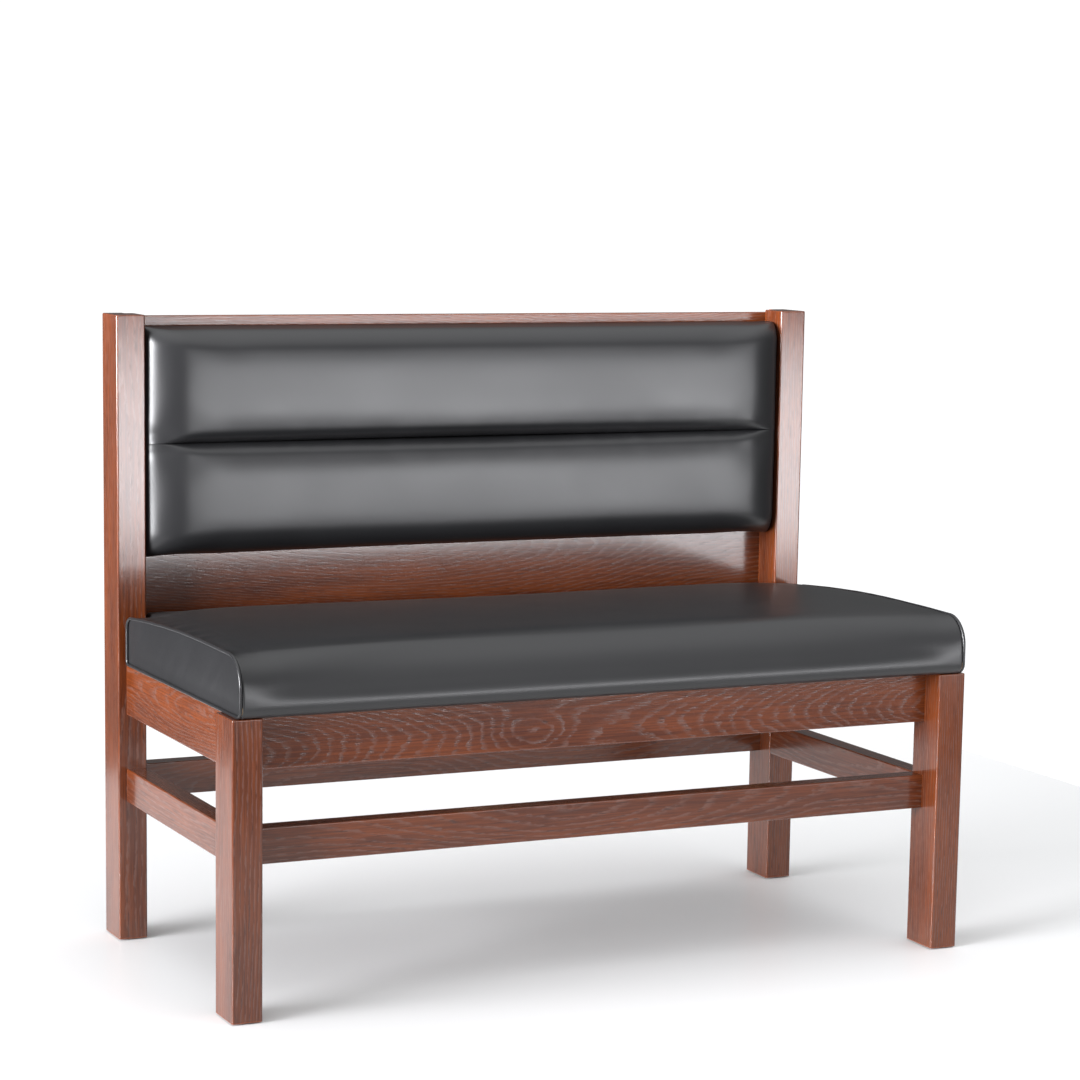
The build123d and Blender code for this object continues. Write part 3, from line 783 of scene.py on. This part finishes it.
def patch(loop, start, x):
    """Closes one end: a grid stretched between the underside, nose, top and rear of the loop."""
    rows = NOSE_LOW + FRONT + NOSE_HIGH
    low = loop[:BOTTOM + 1]
    nose = loop[BOTTOM:BOTTOM + rows + 1]
    top = loop[BOTTOM + rows:BOTTOM + rows + TOP + 1]
    rear = loop[BOTTOM + rows + TOP:] + [loop[0]]
    made, index = [], {}
    for i in range(BOTTOM + 1):
        for j in range(rows + 1):
            if j == 0:
                index[i, j] = start + i
            elif i == BOTTOM:
                index[i, j] = start + BOTTOM + j
            elif j == rows:
                index[i, j] = start + BOTTOM + rows + TOP - i
            elif i == 0:
                index[i, j] = start + (len(loop) - j) % len(loop)
            else:
                u, v = i / BOTTOM, j / rows
                a, b = np.array(low[i]), np.array(top[TOP - i])
                c, d = np.array(rear[rows - j]), np.array(nose[j])
                corners = ((1 - u) * (1 - v) * np.array(low[0]) + u * (1 - v) * np.array(low[-1])
                           + (1 - u) * v * np.array(top[-1]) + u * v * np.array(top[0]))
                y, z = (1 - v) * a + v * b + (1 - u) * c + u * d - corners
                index[i, j] = len(points) + len(made)
                made.append((x, y, z))
    quads = [(index[i, j], index[i + 1, j], index[i + 1, j + 1], index[i, j + 1])
             for i in range(BOTTOM) for j in range(rows)]
    return made, quads


tube_count = len(points)
for place in (0, len(seat_stations) - 1):
    start = place * ring
    loop = [(p[1], p[2]) for p in points[start:start + ring]]
    more, quads = patch(loop, start, seat_stations[place])
    points += more
    faces += quads

seat = as_object("seat_cushion", points, faces, black_vinyl)
face_outwards(seat)
rest = read_points(seat.data)
underside = rest[:, 2] < board_top + 5 * MM
on_seam = (np.arange(len(rest)) < ring) | (
    (np.arange(len(rest)) >= tube_count - ring) & (np.arange(len(rest)) < tube_count))
limits = np.array([0.3 * MM + swell_room * over_board(z) for z in rest[:, 2]])
limits[rest[:, 1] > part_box("back_post_left")[0].y - 14 * MM] = 2.2 * MM
limits[tube_count:] = np.minimum(limits[tube_count:], 1.6 * MM)
blow_up(seat, np.flatnonzero(underside | on_seam), limits)

# %% [markdown]
# The skin is sewn along the welts, so it puckers there a little: short, shallow folds that run
# square to the seam and fade out within a few centimetres. The underside is pressed flat by the
# rails, so it isn't touched.

# %% Puckers in the seat
UNTOUCHED = 9.0                  # a distance that no fold reaches


def puckers(piece, distance, along, depth, reach, spacing, seed):
    """Moves points in and out along their normals, by folds that fade with distance."""
    mesh = piece.data
    points = read_points(mesh)
    normals = np.zeros(len(mesh.vertices) * 3)
    mesh.vertices.foreach_get("normal", normals)
    normals = normals.reshape(-1, 3)
    for i, (far, t) in enumerate(zip(distance, along)):
        if far < 4 * reach:
            fold = noise.noise(Vector((t / spacing, far / (4 * reach), seed)))
            fade = math.exp(-far / reach) * min(1.0, far / (3 * MM))
            points[i] += normals[i] * depth * fold * fade
    write_points(mesh, points)


now = read_points(seat.data)
from_end = end_x - np.abs(now[:, 0])
steps = np.where(now[:, 2] > seat_bottom + 20 * MM, now[:, 1] + now[:, 2], UNTOUCHED)
upper = np.where(now[:, 2] > seat_bottom + 12 * MM, from_end, UNTOUCHED)
puckers(seat, upper, steps, depth=2.4 * MM, reach=16 * MM, spacing=22 * MM, seed=3.0)
smooth_once(seat)
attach(seat, "root")
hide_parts("seat_cover", "seat_foam", "seat_end_left", "seat_end_right")
print(f"seat cushion: {len(seat.data.polygons)} faces")

# %% [markdown]
# ## Geometry Nodes for what repeats
#
# Piping, screws and staples all repeat one small form along a line or at a list of places.
# Each is a short tree: a few named sizes go in, instances are placed, and the instances are made
# real and given their material at the end, since an instance isn't a mesh yet.

# %% Geometry Nodes helpers
def new_tree(name, sizes):
    """A geometry tree with a mesh in, a mesh out, and named number inputs."""
    tree = bpy.data.node_groups.new(name, "GeometryNodeTree")
    tree.interface.new_socket("Geometry", in_out="INPUT", socket_type="NodeSocketGeometry")
    for label, value in sizes.items():
        kind = "NodeSocketObject" if value is None else "NodeSocketFloat"
        socket = tree.interface.new_socket(label, in_out="INPUT", socket_type=kind)
        if value is not None:
            socket.default_value = value
    tree.interface.new_socket("Geometry", in_out="OUTPUT", socket_type="NodeSocketGeometry")
    start = tree.nodes.new("NodeGroupInput")
    end = tree.nodes.new("NodeGroupOutput")
    return tree, start.outputs, end.inputs


def close_tree(tree, geometry, material, output):
    """Ends a tree: instances become real, and the result gets its material."""
    real = add(tree, "GeometryNodeRealizeInstances", {0: geometry}).outputs[0]
    painted = add(tree, "GeometryNodeSetMaterial", {"Geometry": real, "Material": material})
    tree.links.new(painted.outputs[0], output)


def grow(piece, tree, **values):
    """Puts the tree on the piece, sets its inputs by their identifiers and keeps the result."""
    modifier = piece.modifiers.new("growth", "NODES")
    modifier.node_group = tree
    for item in tree.interface.items_tree:
        if item.in_out == "INPUT" and item.name in values:
            modifier[item.identifier] = values[item.name]
    plain(piece)
    shade_smooth(piece.data)


def wire_loop(name, points):
    """Bare edges through the points and back to the first, for a tree to follow."""
    mesh = bpy.data.meshes.new(name)
    count = len(points)
    mesh.from_pydata([tuple(p) for p in points], [(i, (i + 1) % count) for i in range(count)], [])
    return place_in_scene(name, mesh)


# %% [markdown]
# ### The welts
#
# Piping is a cord wrapped in a strip of the same vinyl and sewn into the seam. The tree turns the
# seam line into a curve, walks it in even steps and carries a circle along it. The circle's radius
# breathes very slightly, as the strip does between stitches.

# %% Piping
def piping_tree(material):
    tree, sizes, out = new_tree("piping", {"Radius": 2 * MM, "Step": 3 * MM, "Unevenness": 0.04})
    curve = add(tree, "GeometryNodeMeshToCurve", {0: sizes["Geometry"]}).outputs[0]
    even = add(tree, "GeometryNodeResampleCurve", {"Curve": curve, "Length": sizes["Step"]},
               mode="LENGTH").outputs[0]
    spot = add(tree, "GeometryNodeInputPosition").outputs[0]
    wander = add(tree, "ShaderNodeTexNoise", {"Vector": spot, "Scale": 110.0, "Detail": 1.0})
    lean = calc(tree, "MULTIPLY", calc(tree, "SUBTRACT", wander.outputs[0], 0.5),
                sizes["Unevenness"])
    radius = calc(tree, "MULTIPLY", calc(tree, "ADD", lean, 1.0), sizes["Radius"])
    thick = add(tree, "GeometryNodeSetCurveRadius", {"Curve": even, "Radius": radius}).outputs[0]
    circle = add(tree, "GeometryNodeCurvePrimitiveCircle", {"Resolution": 12, "Radius": 1.0})
    given = add(tree, "GeometryNodeInputRadius").outputs[0]
    tube = add(tree, "GeometryNodeCurveToMesh", {
        "Curve": thick, "Profile Curve": circle.outputs[0], "Scale": given})
    close_tree(tree, tube.outputs[0], material, out[0])
    return tree


piping = piping_tree(welt_vinyl)
welt_x = (welt_low.x + welt_high.x) / 2
for side, sign in (("left", -1), ("right", 1)):
    seam = seat_outline(seat_back, welt_radius)
    waviness = [0.35 * MM * noise.noise(Vector((y * 30, z * 30, sign))) for y, z in seam]
    loop = [(sign * abs(welt_x), y, z + w) for (y, z), w in zip(seam, waviness)]
    welt = wire_loop(f"seat_piping_{side}", loop)
    grow(welt, piping, Radius=welt_radius * 0.97, Step=3 * MM, Unevenness=0.06)
    face_outwards(welt)
    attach(welt, "root")
    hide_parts(f"seat_welt_{side}")
    print(f"{welt.name}: {len(welt.data.polygons)} faces")

# %% [markdown]
# ## The back pad
#
# The back pad is one cover sewn into two rolls. In section it leaves the panel, turns over a
# rounded edge, runs flat, dips into the seam and does the same again. Towards its ends the depth
# falls away round a corner, and the dip fades into the flat side, where only the seam line shows.

# %% Back pad
pad_low, pad_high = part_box("pad_cover")
pad_half = pad_high.x
pad_plane = pad_high.y - 0.3 * MM
pad_depth = pad_high.y - pad_low.y
pad_seam = (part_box("pad_foam_upper")[0].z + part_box("pad_foam_lower")[1].z) / 2
pad_swell = 5 * MM
body_depth = pad_depth - 4 * MM
seam_depth = 0.030


def roll_path(outer, seam, edge_radius, seam_radius):
    """Depth and height round one roll, from the panel at its outer edge to the seam."""
    edge_side = 1 if seam > outer else -1
    path = line((0.0, outer), (body_depth - edge_radius, outer), 6)
    path += [(body_depth - edge_radius + edge_radius * math.sin(t * math.pi / 2),
              outer + edge_side * edge_radius * (1 - math.cos(t * math.pi / 2)))
             for t in np.arange(8) / 8]
    path += line((body_depth, outer + edge_side * edge_radius),
                 (body_depth, seam - edge_side * seam_radius), 14)
    path += [(body_depth - seam_radius * (1 - math.cos(t * math.pi / 2)),
              seam - edge_side * seam_radius * (1 - math.sin(t * math.pi / 2)))
             for t in np.arange(8) / 8]
    path += line((body_depth - seam_radius, seam), (seam_depth, seam), 3)
    return path


upper_path = roll_path(pad_high.z, pad_seam, 26 * MM, 15 * MM)
lower_path = roll_path(pad_low.z, pad_seam, 34 * MM, 13 * MM)
section = upper_path + [(seam_depth, pad_seam)] + lower_path[::-1]
seam_row = len(upper_path)

corner_width, corner_depth = 54 * MM, 28 * MM
side_steps = 6
corner_steps = 12
ends = [(0.0, s / side_steps * (1 - corner_depth / body_depth)) for s in range(side_steps)]
ends += [(corner_width * (1 - math.cos(t * math.pi / 2)),
          1 - corner_depth / body_depth * (1 - math.sin(t * math.pi / 2)))
         for t in np.arange(corner_steps) / corner_steps]
flat_reach = pad_half - corner_width
flat_count = int(2 * flat_reach / (7.5 * MM))
columns = [(-pad_half + inward, share) for inward, share in ends]
columns += [(-flat_reach + 2 * flat_reach * i / flat_count, 1.0) for i in range(flat_count + 1)]
columns += [(pad_half - inward, share) for inward, share in reversed(ends)]

spots, index = {}, {}
for column, (x, share) in enumerate(columns):
    groove = min(1.0, max(0.0, (pad_half - abs(x) - 6 * MM) / 0.055))
    groove = groove * groove * (3 - 2 * groove)
    for row, (depth, z) in enumerate(section):
        beside_seam = abs(z - pad_seam) < 16 * MM and depth > seam_depth - MM
        if beside_seam:
            depth = depth * groove + (body_depth - 1.5 * MM) * (1 - groove)
        spot = (round(x, 6), round(pad_plane - depth * share, 6), round(z, 6))
        index[column, row] = spots.setdefault(spot, len(spots))
points = list(spots)


def tidy_face(corners):
    """The corners in order, each once."""
    kept = list(dict.fromkeys(corners))
    return [tuple(kept)] if len(kept) > 2 else []


last_row, last_column = len(section) - 1, len(columns) - 1
faces = []
for i in range(last_column):
    for j in range(last_row):
        faces += tidy_face([index[i, j], index[i, j + 1], index[i + 1, j + 1], index[i + 1, j]])
inner = range(len(ends), last_column - len(ends))
for i in inner:
    faces += tidy_face([index[i, 0], index[i + 1, 0], index[i + 1, last_row],
                        index[i, last_row]])
for outer_column, columns_there in ((0, range(inner[0] + 1)),
                                    (last_column, range(last_column, inner[-1], -1))):
    faces += tidy_face([index[i, 0] for i in columns_there]
                       + [index[i, last_row] for i in reversed(columns_there)]
                       + [index[outer_column, j] for j in range(last_row, 0, -1)])

pad = as_object("back_pad", points, faces, black_vinyl)
face_outwards(pad)
rest = read_points(pad.data)
on_panel = np.flatnonzero(rest[:, 1] > pad_plane - 0.2 * MM)
seam_points = [index[column, seam_row] for column in range(len(columns))]
limits = np.full(len(rest), pad_swell)
limits[np.abs(rest[:, 0]) > pad_half - 10 * MM] = 1.0 * MM
blow_up(pad, sorted(set(on_panel) | set(seam_points)), limits)
print(f"back pad: {len(pad.data.polygons)} faces, seam at {1000 * pad_seam:.0f} mm")

# %% [markdown]
# The middle seam gathers the vinyl into small folds, most of all at its two ends.

# %% Finish the back pad
now = read_points(pad.data)
from_seam = np.abs(now[:, 2] - pad_seam)
near_end = 1 + 2.0 * np.exp(-(pad_half - np.abs(now[:, 0])) / 0.05)
front_only = np.where(now[:, 1] < pad_plane - 25 * MM, from_seam / near_end, UNTOUCHED)
puckers(pad, front_only, now[:, 0], depth=1.3 * MM, reach=12 * MM, spacing=26 * MM, seed=7.0)
smooth_once(pad)
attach(pad, "root")
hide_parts("pad_cover", "pad_foam_upper", "pad_foam_lower")
print(f"back pad finished: {len(pad.data.polygons)} faces")

# %% [markdown]
# ## Screws
#
# Every screw is the same form at two sizes: a flat countersunk head with a cross recess, a shank
# and a thread that runs out to the point. One master is modelled by turning its profile, then a
# tree sets a copy at every place, aimed along its axis.

# %% Master screw
def finish_form(name, shape):
    """Turns a modelled form into an object with its faces outwards."""
    bmesh.ops.recalc_face_normals(shape, faces=shape.faces)
    mesh = bpy.data.meshes.new(name)
    shape.to_mesh(mesh)
    shape.free()
    return place_in_scene(name, mesh)


def join_rings(shape, rings):
    """Faces between each ring of points and the next."""
    around = len(rings[0])
    for lower, higher in zip(rings, rings[1:]):
        for i in range(around):
            k = (i + 1) % around
            shape.faces.new((lower[i], lower[k], higher[k], higher[i]))


def screw_master(name, head, shank, length, head_height):
    """Points along +Z from the middle of its head's face."""
    around = 20
    core = shank * 0.72
    pitch = shank * 0.75
    profile = [(head, 0.0), (head * 0.98, head_height * 0.15), (shank * 0.95, head_height)]
    z = head_height + length * 0.12
    profile.append((shank * 0.95, z))
    while z < length - 2 * pitch:
        fade = min(1.0, (length - z) / (4 * pitch))
        profile += [(core * fade, z + 0.2 * pitch), (shank * fade, z + 0.6 * pitch)]
        z += pitch
    profile.append((0.12 * shank, length - 0.1 * pitch))
    shape = bmesh.new()
    rings = []
    for radius, height in profile:
        rings.append([shape.verts.new((radius * math.cos(a), radius * math.sin(a), height))
                      for a in np.arange(around) * math.tau / around])
    join_rings(shape, rings)
    shape.faces.new(list(reversed(rings[-1])))

    arm, half = head * 0.62, head * 0.11
    cross = [(arm, -half), (arm, half), (half, half), (half, arm), (-half, arm), (-half, half),
             (-arm, half), (-arm, -half), (-half, -half), (-half, -arm), (half, -arm),
             (half, -half)]
    deep = head_height * 0.7
    rim = [shape.verts.new((x, y, 0.0)) for x, y in cross]
    foot = [shape.verts.new((x * 0.55, y * 0.55, deep)) for x, y in cross]
    join_rings(shape, [rim, foot])
    shape.faces.new(foot)
    face_edges = [shape.edges.get((loop[i], loop[(i + 1) % len(loop)]))
                  for loop in (rings[0], rim) for i in range(len(loop))]
    bmesh.ops.triangle_fill(shape, use_beauty=True, use_dissolve=False, edges=face_edges)
    return finish_form(name, shape)


def placing_tree(material):
    """Sets a copy of a form at each point, aimed along the point's own direction."""
    tree, sizes, out = new_tree("placing", {"Form": None, "Turn": 0.0})
    form = add(tree, "GeometryNodeObjectInfo", {"Object": sizes["Form"]}).outputs["Geometry"]
    aim = add(tree, "GeometryNodeInputNamedAttribute", {"Name": "aim"}, data_type="FLOAT_VECTOR")
    turn = add(tree, "FunctionNodeAlignRotationToVector", {"Vector": aim.outputs[0]}, axis="Z")
    spin = add(tree, "FunctionNodeRandomValue", {2: 0.0, 3: sizes["Turn"], "Seed": 4},
               data_type="FLOAT").outputs[1]
    around = add(tree, "ShaderNodeCombineXYZ", {"Z": spin}).outputs[0]
    spun = add(tree, "FunctionNodeRotateRotation", {0: turn.outputs[0], 1: around},
               rotation_space="LOCAL").outputs[0]
    placed = add(tree, "GeometryNodeInstanceOnPoints", {
        "Points": sizes["Geometry"], "Instance": form, "Rotation": spun}).outputs[0]
    close_tree(tree, placed, material, out[0])
    return tree


def places_mesh(name, places):
    """A cloud of points that each carry a direction."""
    mesh = bpy.data.meshes.new(name)
    mesh.from_pydata([tuple(p) for p, _ in places], [], [])
    aim = mesh.attributes.new("aim", "FLOAT_VECTOR", "POINT")
    aim.data.foreach_set("vector", [c for _, d in places for c in d])
    return place_in_scene(name, mesh)


# %% [markdown]
# Where the screws are is read from the engineering model: each node of screws is split into its
# loose parts, and a part's longest side is its axis. Its head is the wider end.

# %% Set the screws
def loose_parts(node):
    """The separate solids of a node, each as an array of points."""
    shell = bmesh.new()
    shell.from_mesh(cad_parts[node].data)
    bmesh.ops.remove_doubles(shell, verts=shell.verts, dist=0.01 * MM)
    seen, parts = set(), []
    for first in shell.verts:
        if first in seen:
            continue
        todo, part = [first], []
        seen.add(first)
        while todo:
            vert = todo.pop()
            part.append(vert.co.copy())
            for link in vert.link_edges:
                other = link.other_vert(vert)
                if other not in seen:
                    seen.add(other)
                    todo.append(other)
        parts.append(np.array(part))
    shell.free()
    return parts


def screw_axis(part):
    """The middle of the head's face, the direction to the tip, the length and the head's radius."""
    low, high = part.min(0), part.max(0)
    axis = int(np.argmax(high - low))
    centre = (low + high) / 2
    radii = np.linalg.norm(np.delete(part - centre, axis, 1), axis=1)
    head_at = part[np.argmax(radii), axis]
    toward = 1.0 if head_at < centre[axis] else -1.0
    direction = np.zeros(3)
    direction[axis] = toward
    start = centre.copy()
    start[axis] = low[axis] if toward > 0 else high[axis]
    return start, direction, (high - low)[axis], radii.max()


placing = placing_tree(zinc)
for node in ("panel_screws", "pad_screws", "corner_block_screws", "seat_fixing_screws"):
    found = [screw_axis(part) for part in loose_parts(node)]
    _, _, length, head = found[0]
    master = screw_master("screw_form", head * 0.98, head * 0.49, length, head * 0.6)
    screws = places_mesh(f"set_{node}", [(p, d) for p, d, _, _ in found])
    grow(screws, placing, Form=master, Turn=math.tau)
    bpy.data.objects.remove(master)
    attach(screws, "root")
    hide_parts(node)
    print(f"{node}: {len(found)} screws of {1000 * length:.0f} mm")

# %% [markdown]
# ## The dust cover and its staples
#
# The underside of the seat is closed by a thin black cloth, turned under at its edges and stapled
# to the seat board. Between its staples and the bearer that props it, the cloth hangs by a
# millimetre or two, with a faint ripple.

# %% Dust cover
dust_low, dust_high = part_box("seat_dust_cover")
bearer_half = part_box("seat_bearer")[1].x
block_low, block_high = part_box("corner_block_front_left")
block_reach = block_high.x - block_low.x
sag = 2.2 * MM
hem = 14 * MM


def dust_sag(x, y):
    """How far the cloth hangs: nothing at its edges, at the bearer and over the corner blocks."""
    edge_x = min(abs(x) - bearer_half, dust_high.x - hem - abs(x))
    edge_y = min(y - dust_low.y - hem, dust_high.y - hem - y)
    corner = (abs(abs(x) - dust_high.x) + min(abs(y - dust_low.y), abs(y - dust_high.y))
              - block_reach)
    if min(edge_x, edge_y, corner) <= 0:
        return 0.0
    return sag * (1 - math.exp(-edge_x / 0.06)) * (1 - math.exp(-edge_y / 0.05)) * (
        1 - math.exp(-corner / 0.03))


across, deep = 130, 56
sheet_z = dust_high.z - 0.15 * MM
sheet = dust_high - dust_low
points = []
for i in range(across + 1):
    for j in range(deep + 1):
        x = dust_low.x + sheet.x * i / across
        y = dust_low.y + sheet.y * j / deep
        ripple = 0.25 * MM * noise.noise(Vector((x * 30, y * 30, 5.0)))
        hang = dust_sag(x, y)
        points.append((x, y, sheet_z - hang - (ripple if hang > 0.3 * MM else 0.0)))
faces = [(i * (deep + 1) + j, (i + 1) * (deep + 1) + j, (i + 1) * (deep + 1) + j + 1,
          i * (deep + 1) + j + 1) for i in range(across) for j in range(deep)]
dust = as_object("underseat_cloth", points, faces, dust_cloth)
thickness = dust.modifiers.new("thickness", "SOLIDIFY")
thickness.thickness = 0.35 * MM
thickness.offset = 0
plain(dust)
face_outwards(dust)
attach(dust, "root")
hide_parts("seat_dust_cover")
print(f"dust cover {1000 * sheet.x:.0f} by {1000 * sheet.y:.0f} mm")

# %% [markdown]
# A staple is a crown of flat wire with two legs. The crown's places and directions are read from
# the engineering model, where each crown is a small bar.

# %% Staples
def staple_master(crown, wire_width, leg):
    """A crown along X with legs up in +Z, of square-edged wire with rounded shoulders."""
    half, thin = crown / 2, wire_width / 2
    shoulder = wire_width * 0.8
    path = [(-half, leg), (-half, shoulder), (-half + shoulder * 0.3, shoulder * 0.3),
            (-half + shoulder, 0.0), (half - shoulder, 0.0),
            (half - shoulder * 0.3, shoulder * 0.3), (half, shoulder), (half, leg)]
    lean = wire_width * 0.45 / 2
    shape = bmesh.new()
    rings = []
    for i, (x, z) in enumerate(path):
        before, after = path[max(0, i - 1)], path[min(len(path) - 1, i + 1)]
        step = Vector((after[0] - before[0], after[1] - before[1])).normalized()
        nx, nz = step.y, -step.x
        rings.append([shape.verts.new((x + nx * a * lean, b * thin, z + nz * a * lean))
                      for a, b in ((-1, -1), (1, -1), (1, 1), (-1, 1))])
    join_rings(shape, rings)
    shape.faces.new(rings[0])
    shape.faces.new(list(reversed(rings[-1])))
    return finish_form("staple_form", shape)


def staple_tree(material):
    """Sets a staple at each point, its crown along the point's own direction."""
    tree, sizes, out = new_tree("stapling", {"Form": None})
    form = add(tree, "GeometryNodeObjectInfo", {"Object": sizes["Form"]}).outputs["Geometry"]
    aim = add(tree, "GeometryNodeInputNamedAttribute", {"Name": "aim"}, data_type="FLOAT_VECTOR")
    turn = add(tree, "FunctionNodeAlignRotationToVector", {"Vector": aim.outputs[0]}, axis="X",
               pivot_axis="Z")
    placed = add(tree, "GeometryNodeInstanceOnPoints", {
        "Points": sizes["Geometry"], "Instance": form, "Rotation": turn.outputs[0]}).outputs[0]
    close_tree(tree, placed, material, out[0])
    return tree


crowns = loose_parts("seat_staples")
staple_places = []
for part in crowns:
    low, high = part.min(0), part.max(0)
    centre = (low + high) / 2
    along_x = (high - low)[0] > (high - low)[1]
    tilt = 0.12 * noise.noise(Vector(centre * 90))
    aim = (1.0, tilt, 0.0) if along_x else (tilt, 1.0, 0.0)
    staple_places.append(((centre[0], centre[1], low[2] + 0.25 * MM), aim))
crown_length = max((part.max(0) - part.min(0)).max() for part in crowns)
staple_form = staple_master(crown_length, 1.2 * MM, 7 * MM)
staples = places_mesh("cloth_staples", staple_places)
grow(staples, staple_tree(wire_steel), Form=staple_form)
bpy.data.objects.remove(staple_form)
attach(staples, "root")
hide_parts("seat_staples")
print(f"{len(staple_places)} staples")

# %% [markdown]
# ## Measure and finish
#
# The looks stand a little proud of the engineering model, so both boxes are measured and how far
# the looks grow beyond it is printed. The looks may stand a few millimetres proud of the
# engineering model, but no more.

# %% Sizes
new_low, new_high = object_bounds()
growth = (*(cad_low - new_low), *(new_high - cad_high))
print("grown by", [round(1000 * v, 1) for v in growth], "mm")
